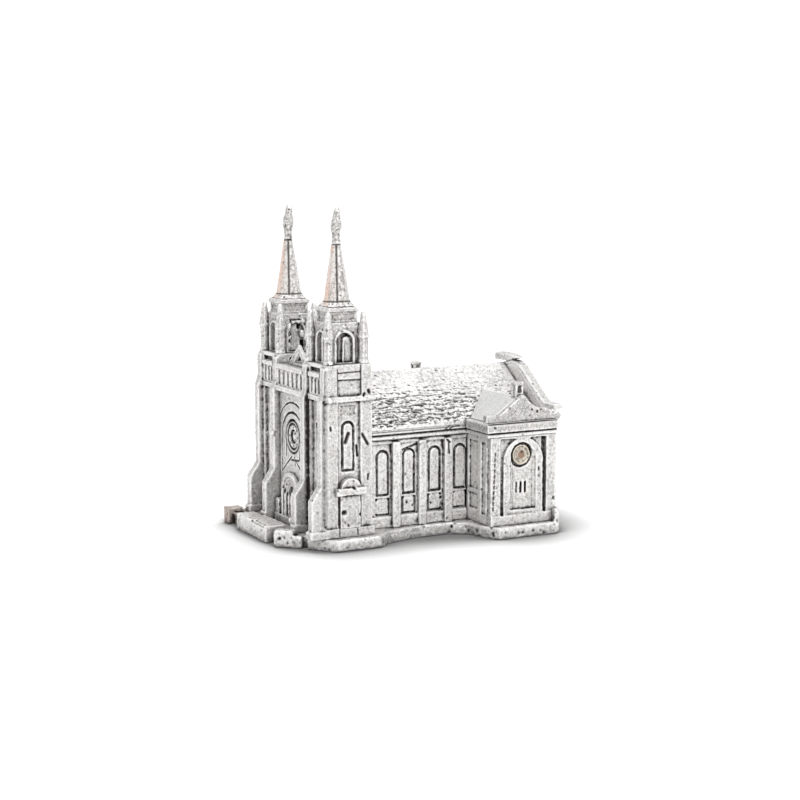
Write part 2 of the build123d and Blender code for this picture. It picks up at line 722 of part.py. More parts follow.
def nave_wall():
    """Four window bays between three buttresses, under a tall entablature."""
    length = (NAVE_FRONT, NAVE_REAR)
    panel = facing_right(NAVE_X, 0)
    with BuildPart() as wall:
        block((NAVE_X - WALL, NAVE_X), length, (BASE_TOP, EAVE_Z - 0.9))
        block((NAVE_X, NAVE_X + 0.35), length, (BASE_TOP, 4.3))
        block((NAVE_X, NAVE_X + 0.2), length, (17.6, WALL_TOP))
        block((NAVE_X, NAVE_X + 0.9), length, (WALL_TOP, WALL_TOP + 0.7))
        block((NAVE_X, NAVE_X + 0.6), length, (WALL_TOP + 0.7, WALL_TOP + 1.0))
        block((NAVE_X - WALL, EAVE_X), length, (WALL_TOP + 1.0, EAVE_Z))
        for i in range(3):
            y = FIRST_WINDOW_Y + BAY_PITCH * i + BUTTRESS_LAG
            ends = (y - NAVE_BUTTRESS / 2, y + NAVE_BUTTRESS / 2)
            block((NAVE_X, NAVE_X + 1.0), ends, (BASE_TOP, WALL_TOP - 0.5))
        for i in range(4):
            y = FIRST_WINDOW_Y + BAY_PITCH * i
            engrave(facing_right(NAVE_X, y), window_outline(WINDOW_WIDTH, 8.0, 16.5))
            with BuildSketch(facing_right(NAVE_X, y)):
                with Locations((0, 6.05)):
                    Rectangle(WINDOW_WIDTH + 0.2, 3.2)
                    Rectangle(WINDOW_WIDTH - 0.5, 2.5, mode=Mode.SUBTRACT)
            extrude(amount=-ENGRAVE, mode=Mode.SUBTRACT)
        for tab in NAVE_TABS:
            block(NAVE_TAB_X, tab, (BASE_TOP - TAB_DEPTH, BASE_TOP))
        # The underside of the entablature seats the roof slope.
        with BuildSketch(Plane.XZ.offset(-NAVE_REAR - 1)):
            with BuildLine():
                Polyline(
                    [
                        (NAVE_X - WALL - 1, roof_height(NAVE_X - WALL - 1) - ROOF_DROP),
                        (EAVE_X + 1, roof_height(EAVE_X + 1) - ROOF_DROP),
                        (EAVE_X + 1, EAVE_Z + 3),
                        (NAVE_X - WALL - 1, EAVE_Z + 3),
                    ],
                    close=True,
                )
            make_face()
        extrude(amount=NAVE_REAR - NAVE_FRONT + 2, mode=Mode.SUBTRACT)
    save_pair(wall.part, "nave_wall")


ROOF_SLOPE = (RIDGE_Z - EAVE_Z) / EAVE_X
ROOF_DROP = 0.9         # thickness of the roof castings, measured upright


def roof_height(x):
    """Height of the main roof's top surface at a distance x from the ridge."""
    return RIDGE_Z - ROOF_SLOPE * x


def nave_roof():
    """One slope of the main roof, from ridge to eave."""
    with BuildPart() as slope:
        with BuildSketch(Plane.XZ.offset(-ROOF_REAR)):
            with BuildLine():
                Polyline(
                    [
                        (0, RIDGE_Z),
                        (EAVE_X + 0.2, roof_height(EAVE_X + 0.2)),
                        (EAVE_X + 0.2, roof_height(EAVE_X + 0.2) - ROOF_DROP),
                        (0, RIDGE_Z - ROOF_DROP),
                    ],
                    close=True,
                )
            make_face()
        extrude(amount=ROOF_REAR - NAVE_FRONT)
    save_pair(slope.part, "nave_roof")


# ---- Transepts ----------------------------------------------------------------------
TRANSEPT_WALL_TOP = 18.6
RELIEF = 0.6            # how far pilasters and frames stand out of the end wall
ROSETTE_Z, ROSETTE_RADIUS = 15.0, 1.85
ROSETTE_SHIFT = -0.35   # the disc sits a little ahead of the wall's middle


def transept_end_wall():
    """The outer wall: pilasters, an arched frame, a sunk arch and three slits."""
    face = facing_right(TRANSEPT_X, TRANSEPT_MID)
    half = (TRANSEPT_REAR - TRANSEPT_FRONT) / 2
    outer = TRANSEPT_X + RELIEF
    frame_ends = (TRANSEPT_MID - 4.2, TRANSEPT_MID + 4.2)
    with BuildPart() as wall:
        block(
            (TRANSEPT_X - WALL, TRANSEPT_X),
            (TRANSEPT_FRONT, TRANSEPT_REAR),
            (BASE_TOP, TRANSEPT_WALL_TOP),
        )
        for side in (-1, 1):
            edge = TRANSEPT_MID + side * half
            ends = sorted((edge, edge - side * 2.1))
            block((TRANSEPT_X, outer), ends, (BASE_TOP, TRANSEPT_WALL_TOP))
        block((TRANSEPT_X, outer + 0.2), (TRANSEPT_FRONT, TRANSEPT_REAR), (BASE_TOP, 4.0))
        block(
            (TRANSEPT_X, outer),
            (TRANSEPT_FRONT, TRANSEPT_REAR),
            (TRANSEPT_WALL_TOP - 0.5, TRANSEPT_WALL_TOP),
        )
        frame = arch_band(8.4, 4.0, TRANSEPT_WALL_TOP - 0.5, 1.45)
        emboss(face, frame, RELIEF - 0.1)
        block((TRANSEPT_X, outer), frame_ends, (4.0, 4.9))
        # A thin raised line follows the arch inside the frame.
        emboss(face, arch_band(5.2, 4.9, TRANSEPT_WALL_TOP - 1.8, 0.3), 0.2)
        with BuildSketch(facing_right(outer, TRANSEPT_MID)):
            with Locations((ROSETTE_SHIFT, ROSETTE_Z)):
                Circle(ROSETTE_RADIUS + 0.5)
        extrude(amount=-RELIEF - 0.5, mode=Mode.SUBTRACT)
        with BuildSketch(face):
            with Locations((-0.2, 8.9)):
                with GridLocations(0.95, 1, 3, 1):
                    Rectangle(0.36, 2.3)
        extrude(amount=-0.5, mode=Mode.SUBTRACT)
        # A deep groove runs up between the frame and the rear pilaster.
        groove_ends = (frame_ends[1], frame_ends[1] + 0.7)
        groove_x = (TRANSEPT_X - 0.5, TRANSEPT_X)
        block(groove_x, groove_ends, (4.0, TRANSEPT_WALL_TOP - 0.5), Mode.SUBTRACT)
        with BuildSketch(facing_right(outer, TRANSEPT_FRONT + 1.0)):
            with Locations((0.3, 11.2)):
                with GridLocations(1, 1.2, 1, 6):
                    Rectangle(0.16, 0.7)
        extrude(amount=-0.2, mode=Mode.SUBTRACT)
        block((TRANSEPT_X - WALL, TRANSEPT_X), END_TAB_Y, (BASE_TOP - TAB_DEPTH, BASE_TOP))
    save_pair(wall.part, "transept_end_wall")


def transept_rosette():
    """A dished disc with a raised rim and a boss, let into the end wall."""
    with BuildPart() as disc:
        with BuildSketch(facing_right(TRANSEPT_X - 0.5, TRANSEPT_MID)):
            with Locations((ROSETTE_SHIFT, ROSETTE_Z)):
                Circle(ROSETTE_RADIUS)
        extrude(amount=0.6)
        dish = facing_right(TRANSEPT_X + 0.1, TRANSEPT_MID)
        with BuildSketch(dish) as rim:
            with Locations((ROSETTE_SHIFT, ROSETTE_Z)):
                Circle(ROSETTE_RADIUS)
                Circle(ROSETTE_RADIUS - 0.25, mode=Mode.SUBTRACT)
        extrude(rim.sketch, amount=0.25)
        with BuildSketch(dish) as boss:
            with Locations((ROSETTE_SHIFT, ROSETTE_Z)):
                Circle(0.75)
        extrude(boss.sketch, amount=0.2)
    save_pair(disc.part, "transept_rosette")


def transept_side_wall(plane_of, y_limits, label):
    """A front or rear wall of the transept, between the nave and the end wall."""
    x = (NAVE_X, TRANSEPT_X - WALL)
    centre = (NAVE_X + TRANSEPT_X - WALL) / 2
    outer_y = y_limits[0] if label == "transept_front_wall" else y_limits[1]
    with BuildPart() as wall:
        block(x, y_limits, (BASE_TOP, TRANSEPT_WALL_TOP))
        face = plane_of(centre, outer_y)
        # A plain sunk panel above a sill, a lower panel, and a sunk strip at the outer corner.
        for across, width, foot, top in (
            (-1.2, 3.2, 8.3, 17.4),
            (-1.2, 3.2, 4.6, 7.6),
            (2.3, 1.5, 4.0, 17.4),
        ):
            with BuildSketch(face):
                with Locations((across if outer_y < TRANSEPT_MID else -across, (foot + top) / 2)):
                    Rectangle(width, top - foot)
            extrude(amount=-0.3, mode=Mode.SUBTRACT)
        block(FRONT_TAB_X, y_limits, (BASE_TOP - TAB_DEPTH, BASE_TOP))
    save_pair(wall.part, label)


def transept_entablature():
    """The slab that ties the transept walls together under its roof."""
    x_in = EAVE_X + 0.25
    y_limits = (TRANSEPT_FRONT, TRANSEPT_REAR)
    with BuildPart() as slab:
        for proud, foot, top in (
            (1.1, TRANSEPT_WALL_TOP, TRANSEPT_WALL_TOP + 0.6),
            (0.75, TRANSEPT_WALL_TOP + 0.6, TRANSEPT_WALL_TOP + 0.9),
            (1.3, TRANSEPT_WALL_TOP + 0.9, EAVE_Z),
        ):
            block((x_in, TRANSEPT_X + proud), (y_limits[0] - proud * 0.8, y_limits[1]), (foot, top))
        chamfer(slab.edges().group_by(Axis.Z)[-1].sort_by(Axis.X)[-1], 0.3)
    save_pair(slab.part, "transept_entablature")


def transept_roof(side):
    """A short gabled roof that runs into the main slope along two valleys."""
    run_in = 5.0
    with BuildPart() as roof:
        with BuildSketch(Plane.YZ.offset(run_in)):
            with BuildLine():
                Polyline(
                    [
                        (TRANSEPT_FRONT, EAVE_Z),
                        (TRANSEPT_REAR, EAVE_Z),
                        (RIDGE_Y[side], TRANSEPT_RIDGE_Z),
                    ],
                    close=True,
                )
            make_face()
        extrude(amount=PEDIMENT_X[0] - run_in)
        # Cut away what lies under the main roof.
        with BuildSketch(Plane.XZ.offset(-TRANSEPT_REAR - 1)):
            with BuildLine():
                Polyline(
                    [
                        (0, RIDGE_Z),
                        (EAVE_X + 0.2, roof_height(EAVE_X + 0.2)),
                        (EAVE_X + 0.2, 0),
                        (0, 0),
                    ],
                    close=True,
                )
            make_face()
        extrude(amount=TRANSEPT_REAR - TRANSEPT_FRONT + 2, mode=Mode.SUBTRACT)
    save_side(roof.part, "transept_roof", side)


PEDIMENT_X = (TRANSEPT_X - 0.7, TRANSEPT_X + 0.5)
BELLCOTE_X = (TRANSEPT_X - 2.4, TRANSEPT_X - 0.7)
BELLCOTE_TOP = 28.2


def transept_pediment(side):
    """A shaped gable: one straight rake, one hollow one and a scroll at its foot."""
    peak = RIDGE_Y[side] + 0.1
    with BuildPart() as gable:
        with BuildSketch(Plane.YZ.offset(PEDIMENT_X[0])):
            with BuildLine():
                Polyline(
                    (TRANSEPT_FRONT - 0.9, EAVE_Z),
                    (TRANSEPT_FRONT - 0.9, 22.7),
                    (peak - 4.6, 22.6),
                    (peak - 4.0, 23.0),
                    (peak, 25.9),
                    (peak + 0.4, 25.9),
                )
                ThreePointArc((peak + 0.4, 25.9), (peak + 1.9, 24.4), (peak + 4.0, 23.2))
                ThreePointArc((peak + 4.0, 23.2), (peak + 5.3, 23.3), (peak + 6.4, 22.6))
                Polyline(
                    (peak + 6.4, 22.6),
                    (peak + 6.9, 21.9),
                    (TRANSEPT_REAR, 21.8),
                    (TRANSEPT_REAR, EAVE_Z),
                    (TRANSEPT_FRONT - 0.9, EAVE_Z),
                )
            make_face()
        extrude(amount=PEDIMENT_X[1] - PEDIMENT_X[0])
        # The knob at the rear corner, notched over the entablature.
        with Locations((PEDIMENT_X[1] - 0.6, TRANSEPT_REAR + 0.25, EAVE_Z + 0.45)):
            Cylinder(0.85, 1.2, rotation=(0, 90, 0))
        below = (TRANSEPT_X - 3, TRANSEPT_X + 3)
        block(below, (20, TRANSEPT_REAR), (EAVE_Z - 2, EAVE_Z), Mode.SUBTRACT)
    save_side(gable.part, "transept_pediment", side)


def transept_bellcote(side):
    """A tiny bell arch that stands on the transept ridge behind the pediment."""
    y = RIDGE_Y[side] + 0.25
    with BuildPart() as cote:
        block(BELLCOTE_X, (y - 0.8, y + 0.8), (23.0, BELLCOTE_TOP))
        engrave(facing_right(BELLCOTE_X[1] + 1, y), round_head(0.8, 26.2, 27.6), 5.0)
        cap_y = (y - 0.9, y + 0.9)
        block((BELLCOTE_X[0] - 0.1, BELLCOTE_X[1]), cap_y, (BELLCOTE_TOP - 0.35, BELLCOTE_TOP))
        with BuildSketch(facing_front(sum(BELLCOTE_X) / 2, y - 0.8)):
            with Locations((0, 26.4)):
                Rectangle(0.5, 2.2)
        extrude(amount=-0.25, mode=Mode.SUBTRACT)
        # Its foot is cut to straddle the roof.
        with BuildSketch(Plane.YZ.offset(BELLCOTE_X[0] - 1)):
            with BuildLine():
                Polyline(
                    [
                        (TRANSEPT_FRONT, EAVE_Z),
                        (TRANSEPT_REAR, EAVE_Z),
                        (RIDGE_Y[side], TRANSEPT_RIDGE_Z),
                    ],
                    close=True,
                )
            make_face()
        extrude(amount=5, mode=Mode.SUBTRACT)
    save_side(cote.part, "transept_bellcote", side)


# ---- Rear ---------------------------------------------------------------------------
COPING_DEPTH = 0.7      # thickness of the coping, measured upright
COPING_FOOT_X = 15.0
NECK_X = 1.4            # where the two copings meet, under the capstone
# The top of the coping on each side, as distances from the middle and heights. The right
# shoulder stands higher than the left one.
RAKES = {
    "right": [(NECK_X, 29.8), (2.6, 30.2), (4.1, 30.1), (5.9, 29.3), (13.0, 24.05)],
    "left": [(-NECK_X, 29.8), (3.7, 28.9), (6.0, 28.5), (13.0, 24.05)],
}
RAKES["right"].append((COPING_FOOT_X, 23.0))
RAKES["left"].append((COPING_FOOT_X, 23.0))


def rake_face(side, rise, drop):
    """The area between two heights above and below one side's coping line."""
    outward = 1 if side == "right" else -1
    points = [(outward * x, z + rise) for x, z in RAKES[side]]
    points += [(outward * x, z - drop) for x, z in reversed(RAKES[side])]
    with BuildSketch(mode=Mode.PRIVATE) as area:
        with BuildLine():
            Polyline(points, close=True)
        make_face()
    return area.sketch


def rear_gable_wall():
    top = [(x, z - COPING_DEPTH) for x, z in RAKES["right"]]
    top_left = [(-x, z - COPING_DEPTH) for x, z in RAKES["left"]]
    eave_x = EAVE_X + 0.2
    with BuildPart() as wall:
        with BuildSketch(facing_front(0, ROOF_REAR)):
            with BuildLine():
                outline = [(-REAR_X, BASE_TOP), (REAR_X, BASE_TOP), (REAR_X, EAVE_Z)]
                outline += [(COPING_FOOT_X, EAVE_Z), *top[::-1], *top_left[1:]]
                outline += [(-COPING_FOOT_X, EAVE_Z), (-REAR_X, EAVE_Z)]
                Polyline(outline, close=True)
            make_face()
        extrude(amount=ROOF_REAR - REAR_OUT)
        # The thicker wall below the roofs.
        with BuildSketch(facing_front(0, ROOF_REAR)):
            with BuildLine():
                Polyline(
                    [
                        (-REAR_X, BASE_TOP),
                        (REAR_X, BASE_TOP),
                        (REAR_X, EAVE_Z),
                        (eave_x, EAVE_Z),
                        (eave_x, roof_height(eave_x) - ROOF_DROP),
                        (0, RIDGE_Z - ROOF_DROP),
                        (-eave_x, roof_height(eave_x) - ROOF_DROP),
                        (-eave_x, EAVE_Z),
                        (-REAR_X, EAVE_Z),
                    ],
                    close=True,
                )
            make_face()
        extrude(amount=ROOF_REAR - TRANSEPT_REAR)
        for x, window_top in ((-8.5, 17.5), (0, 22.0), (8.5, 17.5)):
            engrave(facing_rear(x, REAR_OUT), window_outline(3.2, 7.0, window_top))
        for x in (-REAR_X + 1.0, -4.4, 4.4, REAR_X - 1.0):
            block((x - 0.9, x + 0.9), (REAR_OUT, REAR_OUT + 0.3), (BASE_TOP, WALL_TOP))
        block((-REAR_X, REAR_X), (REAR_OUT, REAR_OUT + 0.4), (WALL_TOP, 19.2))
        with BuildSketch(facing_rear(0, REAR_OUT)):
            with Locations((0, 25.2)):
                Circle(1.3)
                Circle(0.95, mode=Mode.SUBTRACT)
        extrude(amount=-ENGRAVE, mode=Mode.SUBTRACT)
        block(REAR_TAB_X, (TRANSEPT_REAR, REAR_OUT), (BASE_TOP - TAB_DEPTH, BASE_TOP))
    save(wall.part, "rear_gable_wall")


COPING_BACK = REAR_OUT + 0.4


def rear_coping(side):
    """The coping on one rake of the rear gable, with a block at its foot."""
    outward = 1 if side == "right" else -1
    with BuildPart() as coping:
        with BuildSketch(facing_front(0, COPING_BACK)):
            add(rake_face(side, 0, COPING_DEPTH))
        extrude(amount=COPING_BACK - ROOF_REAR)
        foot = sorted((outward * (COPING_FOOT_X - 0.1), outward * 18.2))
        block(foot, (ROOF_REAR - 0.2, COPING_BACK), (22.5, 23.5))
        cleared = sorted((outward * (COPING_FOOT_X - 1), outward * REAR_X))
        block(cleared, (ROOF_REAR - 0.2, REAR_OUT), (EAVE_Z, 22.3), Mode.SUBTRACT)
    save(coping.part, f"rear_coping_{side}")


def rear_capstone():
    """The rounded stone that lies across the peak of the rear gable on a short neck."""
    outline = [(-3.1, 30.1), (-2.7, 29.75), (1.0, 29.95), (2.8, 30.25), (4.5, 30.65)]
    outline += [(4.5, 30.95), (2.6, 31.25), (-2.6, 31.3), (-3.1, 30.9)]
    with BuildPart() as cap:
        with BuildSketch(facing_front(0, REAR_OUT + 0.2)):
            with BuildLine():
                Polyline(outline, close=True)
            make_face()
        extrude(amount=REAR_OUT - ROOF_REAR + 0.5)
        fillet(cap.edges().group_by(Axis.Y)[0], radius=0.15)
        fillet(cap.edges().group_by(Axis.Y)[-1], radius=0.15)
        block((0.7, 2.2), (ROOF_REAR, REAR_OUT), (29.0, 30.1))
        with BuildSketch(facing_front(0, COPING_BACK)):
            add(rake_face("right", 0, 3))
            add(rake_face("left", 0, 3))
        extrude(amount=COPING_BACK - ROOF_REAR + 1, mode=Mode.SUBTRACT)
    save(cap.part, "rear_capstone")


base_plate()
entrance_steps()
tower_shaft()
tower_porch()
pinnacles()
belfry()
spire()
spire_finial()
facade_wall()
rose_window()
entrance_porch()
entrance_doors()
gallery()
facade_gable()
nave_front_wall()
nave_wall()
nave_roof()
transept_end_wall()
transept_rosette()
transept_side_wall(facing_front, (TRANSEPT_FRONT, TRANSEPT_FRONT + WALL), "transept_front_wall")
transept_side_wall(facing_rear, (TRANSEPT_REAR - WALL, TRANSEPT_REAR), "transept_rear_wall")
transept_entablature()
for building_side in RIDGE_Y:
    transept_roof(building_side)
    transept_pediment(building_side)
    transept_bellcote(building_side)
    rear_coping(building_side)
rear_gable_wall()
rear_capstone()
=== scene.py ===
"""A small cast-pewter church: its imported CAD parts, each given the skin of a rough casting.

Every CAD node is copied, remeshed as one soft-edged skin, roughened, pitted and marked, and
stands in for its node. Lengths inside the sculpting code are in millimetres, and everything
that Blender shows is in metres.
"""

import json
import math
import zlib

import bmesh
import bpy
import numpy as np
from mathutils import Matrix, Vector


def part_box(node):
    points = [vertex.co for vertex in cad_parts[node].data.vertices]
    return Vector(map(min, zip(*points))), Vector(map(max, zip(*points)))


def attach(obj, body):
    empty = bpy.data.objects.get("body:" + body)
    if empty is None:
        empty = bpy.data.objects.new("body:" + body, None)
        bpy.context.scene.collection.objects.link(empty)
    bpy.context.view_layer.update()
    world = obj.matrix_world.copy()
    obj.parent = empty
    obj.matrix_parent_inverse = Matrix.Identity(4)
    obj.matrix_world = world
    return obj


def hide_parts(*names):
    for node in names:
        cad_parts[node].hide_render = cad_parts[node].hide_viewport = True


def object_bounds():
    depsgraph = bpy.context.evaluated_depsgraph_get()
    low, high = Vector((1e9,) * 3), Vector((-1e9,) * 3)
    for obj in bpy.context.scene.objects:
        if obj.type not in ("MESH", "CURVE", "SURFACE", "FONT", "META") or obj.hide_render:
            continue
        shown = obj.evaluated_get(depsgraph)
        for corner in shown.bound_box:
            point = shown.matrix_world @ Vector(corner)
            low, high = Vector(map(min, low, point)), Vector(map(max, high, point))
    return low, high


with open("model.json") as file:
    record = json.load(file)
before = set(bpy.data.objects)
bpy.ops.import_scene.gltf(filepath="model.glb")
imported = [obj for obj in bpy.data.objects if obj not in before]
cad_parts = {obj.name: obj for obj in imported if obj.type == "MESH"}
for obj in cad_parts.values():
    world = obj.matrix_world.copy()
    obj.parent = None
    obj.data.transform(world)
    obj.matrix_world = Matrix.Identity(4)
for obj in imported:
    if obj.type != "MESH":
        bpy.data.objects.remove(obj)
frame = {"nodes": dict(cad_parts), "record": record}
cad_low, cad_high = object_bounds()
nodes = frame["nodes"]
slots = {part["node"]: part["material_slot"] for part in frame["record"]["subparts"]}
scene = bpy.context.scene

MM = 0.001
FINEST, FINER, FINE, MEDIUM, COARSE = 0.09, 0.11, 0.12, 0.14, 0.20


def low(node):
    """Lowest corner of a CAD node in millimetres."""
    return np.array(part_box(node)[0]) / MM


def high(node):
    """Highest corner of a CAD node in millimetres."""
    return np.array(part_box(node)[1]) / MM


def seeded(name):
    """Random numbers that depend only on a piece's name."""
    return np.random.default_rng(zlib.crc32(name.encode()))


# ---- Skins ----


def clouds(name, scale):
    """A cloud texture for the roughening, with features of about this many millimetres."""
    texture = bpy.data.textures.new(name, "CLOUDS")
    texture.noise_scale = scale
    texture.noise_depth = 2
    return texture


# Each roughening texture with its strength in millimetres.
WAVES = [
    (clouds("slow_waves", 3.4), 0.16),
    (clouds("ripples", 1.1), 0.13),
    (clouds("sand", 0.42), 0.12),
]


def lump(bm, at, size, turn=0.0):
    """Adds an ellipsoid, which the remesh fuses with the casting."""
    place = Matrix.Translation(at) @ Matrix.Rotation(turn, 4, "X")
    place = place @ Matrix.Diagonal((*size, 1.0))
    bmesh.ops.create_icosphere(bm, subdivisions=2, radius=1.0, matrix=place)


def slab(bm, lowest, highest):
    """Adds a block between two corners, which the remesh fuses with the casting."""
    lowest, highest = Vector(lowest), Vector(highest)
    place = Matrix.Translation((lowest + highest) / 2)
    place = place @ Matrix.Diagonal((*(highest - lowest), 1.0))
    bmesh.ops.create_cube(bm, size=1.0, matrix=place)


def bar(bm, start, end, radius):
    """Adds a round bar, which the remesh fuses with the casting."""
    start, end = Vector(start), Vector(end)
    run = end - start
    place = Matrix.Translation((start + end) / 2) @ run.to_track_quat("Z", "Y").to_matrix().to_4x4()
    bmesh.ops.create_cone(
        bm, cap_ends=True, segments=10, radius1=radius, radius2=radius * 0.8, depth=run.length,
        matrix=place,
    )


# Flash and lumps of metal seen on single castings, fused with them: a shape and its place.
FUSED = {
    "belfry_right": [
        (slab, (11.6, -16.2, 33.0), (12.75, -14.4, 37.0)),
        (lump, (12.45, -15.4, 37.0), (0.4, 0.9, 0.6)),
        (bar, (12.85, -16.2, 33.2), (12.75, -16.1, 37.0), 0.2),
        (slab, (9.95, -19.0, 33.0), (10.45, -17.4, 37.9)),
    ],
    "belfry_left": [
        (slab, (-8.6, -17.4, 33.0), (-7.55, -14.6, 38.4)),
        (slab, (-10.45, -19.0, 33.0), (-9.95, -17.4, 37.9)),
        (lump, (-7.1, -17.45, 37.4), (0.3, 0.45, 0.7)),
        (lump, (-7.1, -17.2, 35.6), (0.3, 0.35, 0.5)),
        (lump, (-7.1, -17.5, 34.2), (0.3, 0.4, 0.6)),
        (lump, (-7.0, -14.7, 38.6), (0.35, 0.5, 0.5)),
        (lump, (-7.0, -15.0, 36.3), (0.4, 0.45, 0.8)),
        (lump, (-7.0, -14.3, 35.2), (0.4, 0.4, 1.3)),
        (lump, (-7.0, -15.6, 38.5), (0.3, 0.5, 0.4)),
    ],
    "entrance_porch": [
        (bar, (2.75, -21.0, 3.6), (2.75, -21.0, 8.4), 0.34),
        (bar, (-2.75, -21.0, 3.6), (-2.75, -21.0, 8.4), 0.34),
        (bar, (1.9, -20.85, 3.6), (1.9, -20.85, 7.6), 0.3),
        (bar, (-1.9, -20.85, 3.6), (-1.9, -20.85, 7.6), 0.3),
        (bar, (0.5, -20.7, 3.6), (0.5, -20.7, 7.4), 0.28),
        (bar, (-0.7, -20.7, 3.6), (-0.7, -20.7, 7.4), 0.28),
        (lump, (4.9, -22.9, 3.9), (0.5, 0.4, 0.6)),
    ],
    "tower_shaft_left": [
        (lump, (-5.9, -21.6, 18.2), (0.5, 0.4, 0.5)),
        (lump, (-7.9, -22.5, 4.6), (0.5, 0.45, 0.5)),
    ],
    "tower_shaft_right": [
        (lump, (6.9, -22.4, 4.5), (0.5, 0.45, 0.6)),
        (lump, (12.6, -22.4, 7.6), (0.45, 0.4, 0.4)),
        (lump, (14.8, -19.7, 26.6), (0.45, 0.5, 0.5)),
        (lump, (14.8, -12.0, 26.8), (0.4, 0.5, 0.5)),
    ],
    "transept_end_wall_right": [
        (bar, (18.7, 9.85, 16.6), (18.5, 9.85, 12.0), 0.26),
        (lump, (18.6, 9.8, 14.6), (0.4, 0.3, 0.9)),
        (bar, (18.45, 9.85, 12.4), (18.4, 9.85, 4.0), 0.22),
        (lump, (18.5, 9.8, 9.2), (0.35, 0.3, 1.3)),
        (lump, (18.5, 9.8, 5.2), (0.3, 0.3, 0.8)),
    ],
    "rear_capstone": [
        (bar, (-2.9, 25.2, 30.5), (3.6, 25.3, 30.75), 0.72),
        (lump, (-2.5, 25.2, 30.5), (0.7, 0.8, 0.75)),
    ],
}

HOLLOW = 0.085    # a hollow this deep, in millimetres, is fully dark


